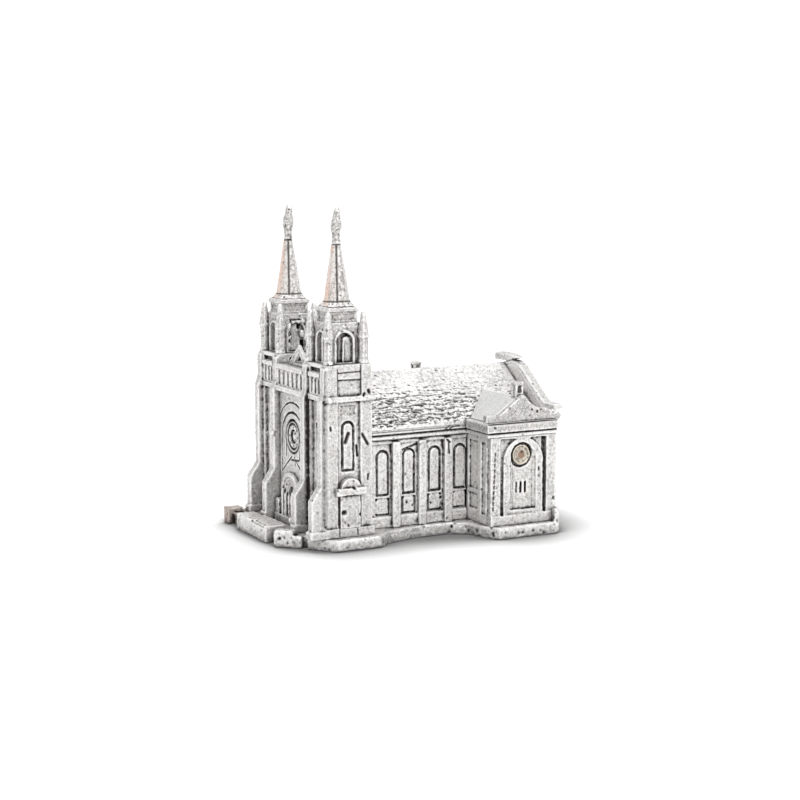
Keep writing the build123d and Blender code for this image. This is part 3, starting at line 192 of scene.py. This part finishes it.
class Skin:
    """The dense skin of one casting, whose points are moved as arrays in millimetres."""

    def __init__(self, node, grain, roughness=1.0, smoothing=2, grow=0.0):
        mesh = nodes[node].data.copy()
        mesh.transform(Matrix.Scale(1 / MM, 4))
        bm = bmesh.new()
        bm.from_mesh(mesh)
        for shape, *place in FUSED.get(node, ()):
            shape(bm, *place)
        bm.to_mesh(mesh)
        bm.free()
        blank = bpy.data.objects.new("blank", mesh)
        scene.collection.objects.link(blank)
        remesh = blank.modifiers.new("skin", "REMESH")
        remesh.mode = "VOXEL"
        remesh.voxel_size = grain * 1
        soften = blank.modifiers.new("soften", "SMOOTH")
        soften.factor = 0.5
        soften.iterations = smoothing
        for texture, strength in WAVES:
            rough = blank.modifiers.new("rough", "DISPLACE")
            rough.texture = texture
            rough.texture_coords = "LOCAL"
            rough.mid_level = 0.5
            rough.strength = strength * roughness
        evaluated = blank.evaluated_get(bpy.context.evaluated_depsgraph_get())
        self.mesh = bpy.data.meshes.new_from_object(evaluated)
        bpy.data.objects.remove(blank)
        self.node = node
        count = len(self.mesh.vertices)
        self.points = np.empty(count * 3, np.float32)
        self.mesh.vertices.foreach_get("co", self.points)
        self.points = self.points.reshape(-1, 3)
        self.normals = np.empty(count * 3, np.float32)
        self.mesh.vertex_normals.foreach_get("vector", self.normals)
        self.normals = self.normals.reshape(-1, 3)
        self.points += self.normals * grow
        self.patina_and_shade = np.zeros(count, np.float32)
        self.random = seeded(node)

    def near(self, start, end, radius, facing=None):
        """The points near a line, and how near they are: 1 on the line and 0 at the radius.

        With a facing direction, only the points that face it count, at any depth.
        """
        start, end = np.array(start, float), np.array(end, float)
        run = end - start
        lowest, highest = np.minimum(start, end) - radius, np.maximum(start, end) + radius
        inside = np.ones(len(self.points), bool)
        for axis in range(3):
            if facing is None or not facing[axis]:
                values = self.points[:, axis]
                inside &= (values > lowest[axis]) & (values < highest[axis])
        if facing is not None:
            inside &= self.normals @ facing > 0.3
        chosen = np.flatnonzero(inside)
        points = self.points[chosen]
        if facing is not None:
            points = points - np.outer((points - start) @ facing, facing)
        along = (points - start) @ run / max(run @ run, 1e-9)
        nearest = start + np.clip(along, 0, 1)[:, None] * run
        share = np.clip(1 - np.linalg.norm(points - nearest, axis=1) / radius, 0, 1)
        return chosen, share * share * (3 - 2 * share)

    def press(self, start, end, radius, depth, dark=0.0, facing=None):
        """Presses in a groove along a line, or raises a ridge where the depth is negative."""
        chosen, share = self.near(start, end, radius, facing)
        self.points[chosen] -= self.normals[chosen] * (share * depth)[:, None]
        # The darkness is patina for most marks and painted shade for a few listed lines.
        self.patina_and_shade[chosen] = np.maximum(self.patina_and_shade[chosen], np.sqrt(share) * dark)

    def face_mark(self, side, start, end, radius, depth, dark=1.0):
        """A mark on the faces that look to one side, +x, -x or -y, given in that face's plane."""
        axis, sign = "xyz".index(side[1]), 1 if side[0] == "+" else -1
        facing = np.zeros(3)
        facing[axis] = sign
        ends = [np.insert(np.array(point, float), axis, 0.0) for point in (start, end)]
        self.press(*ends, radius, depth, dark, facing)

    def neighbour_mean(self, values):
        """For each point, the mean of the values at the points joined to it."""
        first, second = self.edges
        total = np.zeros_like(values)
        for i in range(values.shape[1]):
            total[:, i] = np.bincount(first, values[second, i], len(values))
            total[:, i] += np.bincount(second, values[first, i], len(values))
        return total / self.degree[:, None]

    def weather(self):
        """Finds the hollows, where patina stays, and the arrises, which are rubbed bright."""
        count = len(self.mesh.edges)
        pairs = np.empty(count * 2, np.int32)
        self.mesh.edges.foreach_get("vertices", pairs)
        self.edges = pairs.reshape(-1, 2).T
        self.degree = np.maximum(np.bincount(pairs, minlength=len(self.points)), 1)
        smooth = self.points.astype(float)
        hollow = np.zeros(len(self.points))
        for passes, share in ((3, 1.0), (9, 0.8)):
            for _ in range(passes):
                smooth = self.neighbour_mean(smooth)
            depth = ((smooth - self.points) * self.normals).sum(1)
            hollow += share * depth
        hollow = self.neighbour_mean(hollow[:, None])[:, 0]
        self.patina_and_shade = np.maximum(self.patina_and_shade, np.clip((hollow - 0.015) / HOLLOW, 0, 1))
        self.wear = np.clip((-hollow - 0.01) / HOLLOW, 0, 1)

    def pit(self, at, radius, depth, dark):
        """Presses in a round hollow."""
        self.press(at, at, radius, depth, dark)

    def pit_at_random(self, count, radius=(0.15, 0.4), depth=(0.08, 0.25), dark=0.8, where=None):
        """Small casting flaws at random points of the skin."""
        choice = np.arange(len(self.points)) if where is None else np.flatnonzero(where)
        if not len(choice):
            return
        for _ in range(count):
            at = self.points[self.random.choice(choice)].copy()
            size = self.random.uniform(*radius)
            self.pit(at, size, self.random.uniform(*depth), dark * self.random.uniform(0.4, 1))

    def stain(self, share):
        """Darkens the patina by a share for each point."""
        self.patina_and_shade = np.maximum(self.patina_and_shade, share.astype(np.float32))

    def place(self, material):
        """Makes the skin an object that rides on the body and replaces its CAD node."""
        self.weather()
        self.points[:, 2] = np.maximum(self.points[:, 2], 0.0)
        self.mesh.vertices.foreach_set("co", (self.points * MM).ravel())
        for label, values in (("patina_and_shade", self.patina_and_shade), ("wear", self.wear)):
            layer = self.mesh.attributes.new(label, "FLOAT", "POINT")
            layer.data.foreach_set("value", values.astype(np.float32))
        self.mesh.materials.clear()
        self.mesh.materials.append(material)
        self.mesh.polygons.foreach_set("use_smooth", [True] * len(self.mesh.polygons))
        self.mesh.update()
        piece = bpy.data.objects.new(self.node + "_cast", self.mesh)
        scene.collection.objects.link(piece)
        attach(piece, "root")
        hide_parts(self.node)
        return piece


# ---- Materials ----


def add(tree, kind, inputs=(), **settings):
    """Adds a shader node, with its settings and its inputs as values or links."""
    made = tree.nodes.new("ShaderNode" + kind)
    for key, value in settings.items():
        setattr(made, key, value)
    for key, value in dict(inputs).items():
        if isinstance(value, bpy.types.NodeSocket):
            tree.links.new(value, made.inputs[key])
        else:
            made.inputs[key].default_value = value
    return made


def span(tree, value, start, end, first=0.0, last=1.0):
    """The value mapped from start..end to first..last and clamped."""
    inputs = {"Value": value, "From Min": start, "From Max": end}
    inputs.update({"To Min": first, "To Max": last})
    return add(tree, "MapRange", inputs).outputs["Result"]


def maths(tree, operation, a, b):
    """The result of a sum, product or other operation on two values."""
    return add(tree, "Math", {0: a, 1: b}, operation=operation).outputs[0]


def mixed(tree, factor, a, b):
    """Colour a where the factor is 0 and colour b where it is 1."""
    return add(tree, "Mix", {0: factor, 6: a, 7: b}, data_type="RGBA").outputs[2]


def mottle(tree, place, scale, detail=3.0, roughness=0.55):
    """Noise with about this many features to the metre."""
    inputs = {"Vector": place, "Scale": scale, "Detail": detail, "Roughness": roughness}
    return add(tree, "TexNoise", inputs).outputs["Fac"]


METAL_LIGHT = (0.64, 0.63, 0.612, 1)
RUBBED = (0.86, 0.85, 0.84, 1)
METAL_GREY = (0.34, 0.33, 0.315, 1)
# The dark colour of the patina, and also of the painted shade lines.
PATINA_AND_SHADE = (0.022, 0.018, 0.015, 1)
RUST_BROWN = (0.25, 0.155, 0.105, 1)
WARM_GREY = (0.42, 0.36, 0.31, 1)
COPPER = (0.86, 0.52, 0.36, 1)
GREY_BROWN = (0.25, 0.23, 0.20, 1)
BEIGE = (0.62, 0.56, 0.48, 1)
METALLIC = 0.72
BROAD, STAINS, PATCHES, FLECKS, GRAINS = 170.0, 420.0, 1700.0, 2500.0, 3600.0    # noise scales
ROSETTE_AT = (0.01655, 0.0150)      # the rosettes' axis, in Y and Z
BOSS_EDGE = (0.0006, 0.0009)        # where the rosettes' brown boss fades into the disc


def pewter(name, light=METAL_LIGHT, grey=METAL_GREY, specks=0.6, tint=None, reach=0.0009):
    """Antiqued pewter: bright where rubbed, and nearly black where patina stays and where shade is
    painted.
    """
    material = bpy.data.materials.new(name)
    material.use_nodes = True
    tree = material.node_tree
    shader = tree.nodes["Principled BSDF"]
    place = add(tree, "TexCoord").outputs["Object"]
    broad = mottle(tree, place, BROAD)
    patches = mottle(tree, place, PATCHES, 4.0, 0.8)
    grains = mottle(tree, place, GRAINS, 2.0, 0.6)
    hollow = add(tree, "AmbientOcclusion", {"Distance": reach}, samples=6).outputs["AO"]
    hollow = span(tree, hollow, 0.86, 0.36)
    # This attribute holds the patina and also painted shade along a few listed lines.
    marked = add(tree, "Attribute", attribute_name="patina_and_shade").outputs["Fac"]
    rubbed = add(tree, "Attribute", attribute_name="wear").outputs["Fac"]
    dark = maths(tree, "MAXIMUM", maths(tree, "MULTIPLY", hollow, 0.85), marked)
    fleck = span(tree, mottle(tree, place, FLECKS, 3.0, 0.65), 0.60, 0.69)
    dark = maths(tree, "MAXIMUM", dark, maths(tree, "MULTIPLY", fleck, specks))
    dull = span(tree, maths(tree, "ADD", patches, maths(tree, "MULTIPLY", broad, 0.3)), 0.60, 0.80)
    colour = mixed(tree, dull, light, grey)
    brown = span(tree, mottle(tree, place, STAINS), 0.58, 0.72, 0.0, 0.30)
    colour = mixed(tree, brown, colour, WARM_GREY)
    colour = mixed(tree, maths(tree, "MULTIPLY", rubbed, 0.8), colour, RUBBED)
    colour = mixed(tree, span(tree, grains, 0.54, 0.64, 0.0, 0.75), colour, RUBBED)
    if tint:
        share, shade = tint(tree, place, broad)
        colour = mixed(tree, share, colour, shade)
    colour = mixed(tree, dark, colour, PATINA_AND_SHADE)
    tree.links.new(colour, shader.inputs["Base Color"])
    shader.inputs["Metallic"].default_value = METALLIC
    tree.links.new(
        span(tree, maths(tree, "ADD", grains, dark), 0.2, 1.6, 0.34, 0.75),
        shader.inputs["Roughness"],
    )
    bump = add(tree, "Bump", {"Height": patches, "Strength": 0.6, "Distance": 0.00012})
    tree.links.new(bump.outputs["Normal"], shader.inputs["Normal"])
    return material


def spire_faces(tree, place, broad):
    """A copper tarnish on the faces that look to the front and a grey one on the outer faces."""
    normal = add(tree, "SeparateXYZ", {0: add(tree, "NewGeometry").outputs["Normal"]})
    front = span(tree, normal.outputs["Y"], -0.6, -0.95)
    front = maths(tree, "MULTIPLY", front, span(tree, broad, 0.35, 0.6, 0.1, 0.55))
    outer = span(tree, normal.outputs["X"], 0.84, 0.93)
    blotches = span(tree, mottle(tree, place, 1500.0), 0.45, 0.62, 0.0, 0.75)
    outer = maths(tree, "MULTIPLY", outer, blotches)
    shade = mixed(tree, span(tree, normal.outputs["X"], 0.6, 0.8), COPPER, GREY_BROWN)
    return maths(tree, "MAXIMUM", front, outer), shade


def brown_end(tree, place, broad):
    """Brown tarnish on the base's front left corner."""
    at = add(tree, "SeparateXYZ", {0: place})
    left = span(tree, at.outputs["X"], -0.011, -0.0155, 0.0, 0.85)
    corner = maths(tree, "MULTIPLY", left, span(tree, at.outputs["Y"], -0.018, -0.023))
    return maths(tree, "MULTIPLY", corner, span(tree, broad, 0.2, 0.5, 0.3)), RUST_BROWN


def brassy(tree, place, broad):
    """A beige disc with a brown boss, by the distance from the disc's axis."""
    away = add(tree, "VectorMath", {0: place, 1: (0, *ROSETTE_AT)}, operation="SUBTRACT").outputs[0]
    away = add(tree, "VectorMath", {0: away, 1: (0, 1, 1)}, operation="MULTIPLY").outputs[0]
    away = add(tree, "VectorMath", {0: away}, operation="LENGTH").outputs["Value"]
    shade = mixed(tree, span(tree, away, *BOSS_EDGE), RUST_BROWN, BEIGE)
    return span(tree, broad, 0.1, 0.5, 0.7, 0.95), shade


materials = {
    "wall_pewter": pewter("wall_pewter"),
    "base_pewter": pewter(
        "base_pewter", (0.76, 0.745, 0.72, 1), specks=0.7, tint=brown_end, reach=0.0018
    ),
    "roof_pewter": pewter("roof_pewter", (0.90, 0.89, 0.88, 1), (0.40, 0.39, 0.38, 1), specks=0.85),
    "spire_pewter": pewter("spire_pewter", (0.78, 0.76, 0.74, 1), specks=0.5, tint=spire_faces),
    "rosette_pewter": pewter("rosette_pewter", tint=brassy),
}
# Castings duller or brighter than the rest; the transept front wall is made brighter as painted
# light.
DULL = ("belfry", "pinnacle", "transept_pediment", "transept_entablature", "transept_bellcote")
TOWER = ("tower_shaft", "tower_porch", "facade_wall")
dull_pewter = pewter("dull_pewter", (0.49, 0.48, 0.465, 1), (0.28, 0.27, 0.26, 1))
tower_pewter = pewter("tower_pewter", (0.57, 0.56, 0.545, 1))
# A brighter pewter with fewer specks: painted light that lifts the shade on the transept's front
# wall.
painted_light_pewter = pewter("painted_light_pewter", (0.86, 0.85, 0.83, 1), (0.5, 0.49, 0.47, 1), specks=0.25)
nave_pewter = pewter("nave_pewter", (0.75, 0.74, 0.72, 1), reach=0.0006)
finial_pewter = pewter("finial_pewter", (0.46, 0.45, 0.43, 1), (0.2, 0.19, 0.18, 1), specks=0.8)
smooth_roof_material = pewter("smooth_roof", (0.62, 0.62, 0.61, 1), (0.5, 0.5, 0.5, 1), specks=0.1)


# ---- Castings ----


ROOF_DROP = 0.9                 # thickness of the roof castings, measured upright
COURSE, SHINGLE = 1.28, 1.05    # width of a course of shingles and length of a shingle
ROWS, TILES = 64, 128           # size of the roof's table of random heights
ROOF_MARKS, ROOF_SCARS = 1150, 14


def nave_roof(side):
    """Rough courses of shingles with pits between them, worn bright towards the ridge."""
    node = "nave_roof_" + side
    skin = Skin(node, MEDIUM, 0.9, smoothing=1)
    outward = 1 if side == "right" else -1
    foot, top = low(node), high(node)
    span_x = max(abs(foot[0]), abs(top[0]))
    slope = np.array([outward * (top[2] - foot[2] - ROOF_DROP), 0, span_x])
    slope /= np.linalg.norm(slope)
    upward = skin.normals @ slope > 0.6
    points = skin.points
    down = np.abs(points[:, 0]) / slope[2]
    wave = 0.16 * np.sin(points[:, 1] * 0.9) + 0.12 * np.sin(points[:, 1] * 2.3 + 1.0)
    row_place = (down + wave) / COURSE
    row = np.floor(row_place).astype(int)
    across = points[:, 1] / SHINGLE + 0.5 * (row % 2) + 0.2 * np.sin(row * 2.1)
    tile = np.floor(across).astype(int)
    heights = skin.random.uniform(-1, 1, (ROWS, TILES))
    lift = heights[row % ROWS, tile % TILES]
    step = row_place - row
    gap = np.minimum(across - tile, 1 - (across - tile))
    worn = np.clip((down - 2.0) / 9.0, 0.12, 1)
    worn = worn * np.clip(1.15 - (points[:, 1] - foot[1]) / 52, 0.4, 1)
    broken = heights[(row + 7) % ROWS, (tile + 3) % TILES]
    rise = 0.12 * step + 0.10 * lift - 0.05 * (gap < 0.09) * (broken > 0)
    rise -= 0.22 * (step < 0.16) * (broken > -0.5)
    points += slope * (rise * worn * upward)[:, None]
    # Most marks lie along the joints between the courses.
    chance = skin.random.uniform(size=len(points)) * np.where(step < 0.3, 1.0, 2.6)
    lower = np.flatnonzero(upward & (chance < worn ** 2))
    for _ in range(ROOF_MARKS):
        at = points[skin.random.choice(lower)].copy()
        end = at + (0, skin.random.exponential(0.35), 0)
        size = skin.random.uniform(0.11, 0.25)
        skin.press(at, end, size, skin.random.uniform(0.05, 0.3), skin.random.uniform(0.6, 1))
    for _ in range(ROOF_SCARS):
        at = points[skin.random.choice(lower)].copy()
        end = at + (0.3, skin.random.uniform(0.3, 1.2), 0)
        skin.press(at, end, skin.random.uniform(0.4, 0.6), 0.3, 1.0)
    return skin.place(materials["roof_pewter"])


def ring(z, radius, width, depth):
    """Short marks that make a ring on a front face, round the middle of the facade."""
    steps = 24
    corners = []
    for i in range(steps + 1):
        angle = 2 * math.pi * i / steps
        corners.append((radius * math.cos(angle), z + radius * math.sin(angle)))
    return [("-y", corners[i], corners[i + 1], width, depth) for i in range(steps)]


def dashes():
    """The row of short cuts up the transept's front pilaster."""
    marks = []
    for i in range(11):
        marks.append(("+x", (10.45 + 0.04 * i, 5.2 + i), (10.5 + 0.04 * i, 5.7 + i), 0.22, 0.25))
    return marks


# Casting flaws seen on single pieces, and a few lines of painted shade: the side that they face,
# their two ends in that side's plane, their radius, their depth and, where it isn't full, their
# darkness.
FLAWS_AND_SHADE_LINES = {
    "tower_shaft_right": [
        ("+x", (-16.4, 19.0), (-15.8, 20.5), 0.5, 0.45),
        ("+x", (-14.25, 18.3), (-14.1, 16.5), 0.3, 0.4),
        ("+x", (-13.4, 20.4), (-12.3, 18.5), 0.38, 0.3),
        ("+x", (-12.1, 28.0), (-12.0, 27.8), 0.45, 0.4),
        ("+x", (-13.2, 27.2), (-12.9, 27.6), 0.3, 0.3),
        ("+x", (-19.6, 22.0), (-19.5, 21.4), 0.25, 0.3),
        ("+x", (-12.2, 13.1), (-12.3, 12.2), 0.25, 0.3),
        # A shallow groove between the fin and the pier, darkened with painted shade.
        ("+x", (-20.75, 4.6), (-20.75, 31.5), 0.8, 0.2, 0.38),
        ("+x", (-18.15, 27.5), (-18.15, 32.0), 0.17, 0.12),
        ("+x", (-13.65, 27.5), (-13.65, 32.6), 0.2, 0.15),
        ("+x", (-18.0, 31.35), (-13.7, 31.45), 0.17, 0.12),
        ("+x", (-18.0, 30.1), (-13.7, 30.0), 0.2, 0.12),
        ("+x", (-18.0, 2.4), (-18.0, 3.7), 0.16, 0.2),
        ("+x", (-14.4, 2.4), (-14.5, 3.7), 0.16, 0.2),
    ],
    "facade_wall": ring(18.3, 3.05, 0.35, 0.15) + [
        ("-y", (-0.7, 13.9), (2.6, 14.2), 0.26, 0.3),
        ("-y", (0.9, 15.0), (1.0, 13.2), 0.2, 0.25),
    ],
    "rose_window": ring(18.3, 2.3, 0.28, 0.2) + ring(18.3, 1.2, 0.22, 0.15),
    # A dark band in the left part of the belfry's niche, blackened as painted shadow.
    "belfry_right": [("+x", (-17.0, 33.4), (-17.0, 36.9), 0.62, 0.3)],
    "tower_porch_right": [
        ("+x", (-17.25, 6.7), (-17.1, 6.7), 0.62, 0.5),
        ("+x", (-15.6, 11.1), (-15.3, 10.9), 0.3, 0.25),
        ("+x", (-18.9, 10.9), (-18.7, 10.8), 0.3, 0.25),
        ("+x", (-16.4, 4.4), (-16.3, 4.2), 0.25, 0.2),
    ],
    "nave_wall_right": [
        ("+x", (-11.3, 19.9), (9.6, 19.85), 0.18, 0.1, 0.75),
        ("+x", (-11.3, 19.2), (9.6, 19.25), 0.3, 0.2),
        # A band of painted shade beneath the entablature, over a shallow groove.
        ("+x", (-11.3, 18.3), (9.6, 18.3), 0.3, 0.1, 0.8),
        ("+x", (-3.4, 16.2), (-0.6, 17.1), 0.3, 0.35),
        ("+x", (4.7, 19.3), (5.9, 20.4), 0.2, 0.2),
        ("+x", (5.9, 20.4), (7.5, 20.7), 0.2, 0.2),
        ("+x", (5.4, 19.2), (6.3, 19.9), 0.2, 0.2),
        ("+x", (6.3, 19.9), (7.8, 20.0), 0.18, 0.2),
        ("+x", (-2.6, 6.5), (-2.6, 6.4), 0.3, 0.3),
        ("+x", (-1.4, 5.9), (-1.4, 5.8), 0.25, 0.3),
        ("+x", (4.4, 6.8), (4.4, 6.7), 0.3, 0.3),
        ("+x", (2.3, 6.0), (2.4, 5.8), 0.22, 0.3),
        ("+x", (5.2, 17.6), (5.9, 17.0), 0.25, 0.3),
        ("+x", (5.6, 16.9), (5.7, 15.0), 0.22, 0.3),
    ],
    "transept_end_wall_right": [
        ("+x", (23.5, 6.4), (23.8, 6.3), 0.45, 0.4),
        ("+x", (20.2, 12.4), (20.3, 11.9), 0.25, 0.3),
        ("-y", (18.15, 16.6), (17.95, 4.0), 0.3, 0.3),
        ("+x", (15.75, 8.1), (15.75, 9.8), 0.24, 0.3),
        ("+x", (16.7, 8.1), (16.7, 9.8), 0.24, 0.3),
        ("+x", (17.65, 8.1), (17.65, 9.8), 0.24, 0.3),
    ] + dashes(),
    "transept_entablature_right": [
        ("+x", (10.3, 20.5), (10.4, 20.4), 0.3, 0.3),
        # Two lines of painted shadow below the cornice mouldings and at the pediment's foot, over
        # shallow grooves.
        ("+x", (9.2, 19.35), (23.8, 19.35), 0.22, 0.12),
        ("+x", (9.2, 21.15), (23.8, 21.15), 0.3, 0.1),
    ],
    "transept_pediment_right": [
        ("+x", (19.8, 22.8), (19.8, 22.7), 0.3, 0.35),
        ("+x", (18.6, 23.2), (18.7, 23.1), 0.2, 0.25),
    ],
    "belfry_left": [
        ("+x", (-15.4, 37.8), (-15.4, 37.4), 0.5, 0.7),
        ("+x", (-14.8, 34.7), (-14.7, 34.0), 0.5, 0.7),
        ("+x", (-17.3, 38.9), (-17.0, 38.0), 0.17, 0.15),
        ("+x", (-17.0, 38.0), (-17.3, 37.0), 0.17, 0.15),
        ("+x", (-17.3, 37.0), (-17.0, 36.0), 0.17, 0.15),
        ("+x", (-17.0, 36.0), (-17.3, 35.0), 0.17, 0.15),
        ("+x", (-17.3, 35.0), (-17.0, 33.6), 0.17, 0.15),
        ("+x", (-17.3, 38.9), (-15.4, 38.9), 0.17, 0.15),
    ],
}


def ashlar(node, grain=MEDIUM, pits=14, roughness=1.0, grow=0.0):
    """A wall casting with flaws at random, and the flaws and painted shade lines listed for it."""
    skin = Skin(node, grain, roughness, smoothing=1, grow=grow)
    skin.pit_at_random(pits)
    for face_mark in FLAWS_AND_SHADE_LINES.get(node, ()):
        skin.face_mark(*face_mark)
    material = materials[slots[node]]
    if node.startswith(DULL):
        material = dull_pewter
    elif node.startswith(TOWER):
        material = tower_pewter
    # The transept's front wall takes the brighter pewter, painted light against its shade.
    elif node.startswith("transept_front_wall"):
        material = painted_light_pewter
    elif node.startswith("nave_wall"):
        material = nave_pewter
    return skin.place(material)


SPIRE_SPIGOT = 1.2      # length of the peg under a spire
SPIRE_SKIRT = 0.9       # height of the skirt at its foot
SPIRE_HALF = (2.18, 0.75)       # distance from the axis to a flat, at the foot and the top


def spire(side):
    """An octagonal spire with dark arrises and a dark joint above its skirt."""
    node = "spire_" + side
    skin = Skin(node, FINER, 0.9, smoothing=1)
    bottom, top = low(node), high(node)
    axis = ((bottom + top) / 2)[:2]
    foot_z, top_z = bottom[2] + SPIRE_SPIGOT + SPIRE_SKIRT, top[2] - 0.2
    corner = 1 / math.cos(math.radians(22.5))
    for i in range(8):
        angle = math.radians(22.5 + 45 * i)
        reach = np.array([math.cos(angle), math.sin(angle)]) * corner
        strong = abs(reach[0]) > abs(reach[1]) and reach[1] < 0
        start = (*(axis + reach * SPIRE_HALF[0]), foot_z)
        end = (*(axis + reach * SPIRE_HALF[1]), top_z)
        skin.press(start, end, 0.34, 0.16 if strong else 0.03, 0.95 if strong else 0.2)
    joint = np.abs(skin.points[:, 2] - foot_z) < 0.14
    skin.stain(0.8 * joint)
    collar = np.abs(skin.points[:, 2] - top_z) < 0.12
    skin.stain(0.9 * collar)
    skirt = np.abs(skin.points[:, 2] - foot_z + 0.7) < 0.5
    skin.pit_at_random(40, (0.15, 0.3), (0.08, 0.2), 1.0, skirt)
    skin.pit_at_random(50, (0.12, 0.28), (0.04, 0.12), 0.9)
    share = np.clip((skin.points[:, 2] - foot_z) / (top_z - foot_z), 0, 1)
    skin.points[:, 0] -= 0.12 * share
    return skin.place(materials["spire_pewter"])


def finial(side):
    """A knobbly flame-like bud on a short neck, whose blunt tip leans back."""
    node = "spire_finial_" + side
    skin = Skin(node, FINEST, 1.5, smoothing=1)
    bottom, top = low(node), high(node)
    share = np.clip((skin.points[:, 2] - bottom[2]) / (top[2] - bottom[2]), 0, 1)
    for _ in range(26):
        at = skin.points[skin.random.integers(len(skin.points))].copy()
        skin.press(at, at, skin.random.uniform(0.25, 0.5), -skin.random.uniform(0.05, 0.16))
    skin.pit_at_random(40, (0.12, 0.26), (0.06, 0.2), 1.0)
    axis = ((bottom + top) / 2)[:2]
    tip = np.clip((share - 0.8) / 0.2, 0, 1)
    skin.points[:, :2] = axis + (skin.points[:, :2] - axis) * (1 + 0.6 * tip)[:, None]
    skin.points[:, 2] += 0.2 * tip
    bend = np.clip(share - 0.45, 0, 1) ** 2
    skin.points[:, 0] += 0.09 * np.sin(share * 11.0) - 0.12 + 0.35 * bend
    skin.points[:, 1] += 0.9 * bend
    return skin.place(finial_pewter)


def base_plate():
    """The base: rough, and stained brown at its front left corner."""
    skin = Skin("base_plate", COARSE, 1.5, smoothing=1)
    sides = np.abs(skin.normals[:, 2]) < 0.6
    skin.pit_at_random(200, (0.2, 0.5), (0.1, 0.3), 0.9, sides)
    skin.pit_at_random(80, (0.25, 0.6), (0.1, 0.25), 0.7)
    return skin.place(materials["base_pewter"])


FINE_WALLS = (
    "facade", "entrance_porch", "entrance_doors", "rose", "gallery_screen", "belfry",
    "transept_rosette", "transept_bellcote", "transept_pediment",
)

for name in sorted(nodes):
    side = name.rsplit("_", 1)[-1]
    if name == "base_plate":
        base_plate()
    elif name.startswith("nave_roof"):
        nave_roof(side)
    elif name.startswith("spire_finial"):
        finial(side)
    elif name.startswith("spire"):
        spire(side)
    elif name.startswith("transept_roof"):
        skin = Skin(name, MEDIUM, 0.35)
        skin.pit_at_random(4)
        skin.place(smooth_roof_material if side == "right" else dull_pewter)
    elif name.startswith("pinnacle"):
        ashlar(name, FINER, pits=7, roughness=1.1, grow=0.06)
    elif name.startswith(FINE_WALLS):
        ashlar(name, FINE)
    elif name in ("nave_front_wall", "gallery_deck"):
        ashlar(name, COARSE)
    else:
        ashlar(name)


# ---- Floor, light and camera ----


FLOOR_SIZE = 6.0
FLOOR_WHITE, FLOOR_SHADE = (0.97, 0.97, 0.97, 1), (0.1, 0.1, 0.1, 1)
SHADE_REACH = 0.016                 # how far from the object the floor's shade goes
WHITE_ROOM, DIM_SIDE = 1.04, 0.9    # the room's brightness, and the least of it
DIM_TOWARDS = (-0.35, -0.94, 0)
CAMERA_AT = (0.27009, -0.14168, 0.06709)
AZIMUTH, ELEVATION = 62, 8.1        # of the camera, in degrees
SENSOR, LENS = 36, 74.07


def towards_viewer(azimuth, elevation):
    """The direction at an azimuth from the front and an elevation, in degrees."""
    a, e = math.radians(azimuth), math.radians(elevation)
    return Vector((math.sin(a) * math.cos(e), -math.cos(a) * math.cos(e), math.sin(e)))


def floor():
    """A plain white floor, shaded close to the object."""
    bm = bmesh.new()
    bmesh.ops.create_grid(bm, x_segments=8, y_segments=8, size=FLOOR_SIZE)
    mesh = bpy.data.meshes.new("floor")
    bm.to_mesh(mesh)
    bm.free()
    plain = bpy.data.materials.new("floor_white")
    plain.use_nodes = True
    tree = plain.node_tree
    shader = tree.nodes["Principled BSDF"]
    # The object's soft contact shadow, a little stronger than the light alone gives.
    open_sky = add(tree, "AmbientOcclusion", {"Distance": SHADE_REACH}, samples=16)
    openness = span(tree, open_sky.outputs["AO"], 0.55, 1.0)
    white = mixed(tree, openness, FLOOR_SHADE, FLOOR_WHITE)
    tree.links.new(white, shader.inputs["Base Color"])
    shader.inputs["Roughness"].default_value = 0.9
    shader.inputs["Specular IOR Level"].default_value = 0.1
    shader.inputs["Emission Color"].default_value = (1, 1, 1, 1)
    shader.inputs["Emission Strength"].default_value = 0.1
    mesh.materials.append(plain)
    stage = bpy.data.objects.new("floor", mesh)
    scene.collection.objects.link(stage)


def softbox(name, azimuth, elevation, distance, size, power):
    """A square area light aimed at the middle of the object."""
    middle = (cad_low + cad_high) / 2
    away = towards_viewer(azimuth, elevation)
    lamp = bpy.data.lights.new(name, "AREA")
    lamp.size = size
    lamp.energy = power
    light = bpy.data.objects.new(name, lamp)
    light.location = middle + away * distance
    light.rotation_mode = "QUATERNION"
    light.rotation_quaternion = away.to_track_quat("Z", "Y")
    scene.collection.objects.link(light)


def light_and_camera():
    """A white room with two soft lights, and the camera at the front right corner."""
    world = bpy.data.worlds.new("studio")
    scene.world = world
    world.use_nodes = True
    tree = world.node_tree
    # The white room is dimmer behind the front left corner, which shapes the front faces.
    towards = add(tree, "TexCoord").outputs["Generated"]
    aim = add(tree, "VectorMath", {0: towards, 1: DIM_TOWARDS}, operation="DOT_PRODUCT")
    level = span(tree, aim.outputs["Value"], 0.15, 0.85, WHITE_ROOM, DIM_SIDE)
    tree.links.new(level, tree.nodes["Background"].inputs["Strength"])
    tree.nodes["Background"].inputs["Color"].default_value = (1, 1, 1, 1)
    softbox("key", azimuth=84, elevation=42, distance=0.5, size=0.14, power=0.85)
    softbox("top", azimuth=-60, elevation=75, distance=0.5, size=0.3, power=0.5)
    scene.view_settings.view_transform = "Standard"
    camera_data = bpy.data.cameras.new("camera")
    camera_data.sensor_width = SENSOR
    camera_data.lens = LENS
    camera_data.clip_start = 0.01
    camera = bpy.data.objects.new("camera", camera_data)
    camera.location = CAMERA_AT
    camera.rotation_mode = "QUATERNION"
    camera.rotation_quaternion = towards_viewer(AZIMUTH, ELEVATION).to_track_quat("Z", "Y")
    scene.collection.objects.link(camera)
    scene.camera = camera


floor()
light_and_camera()
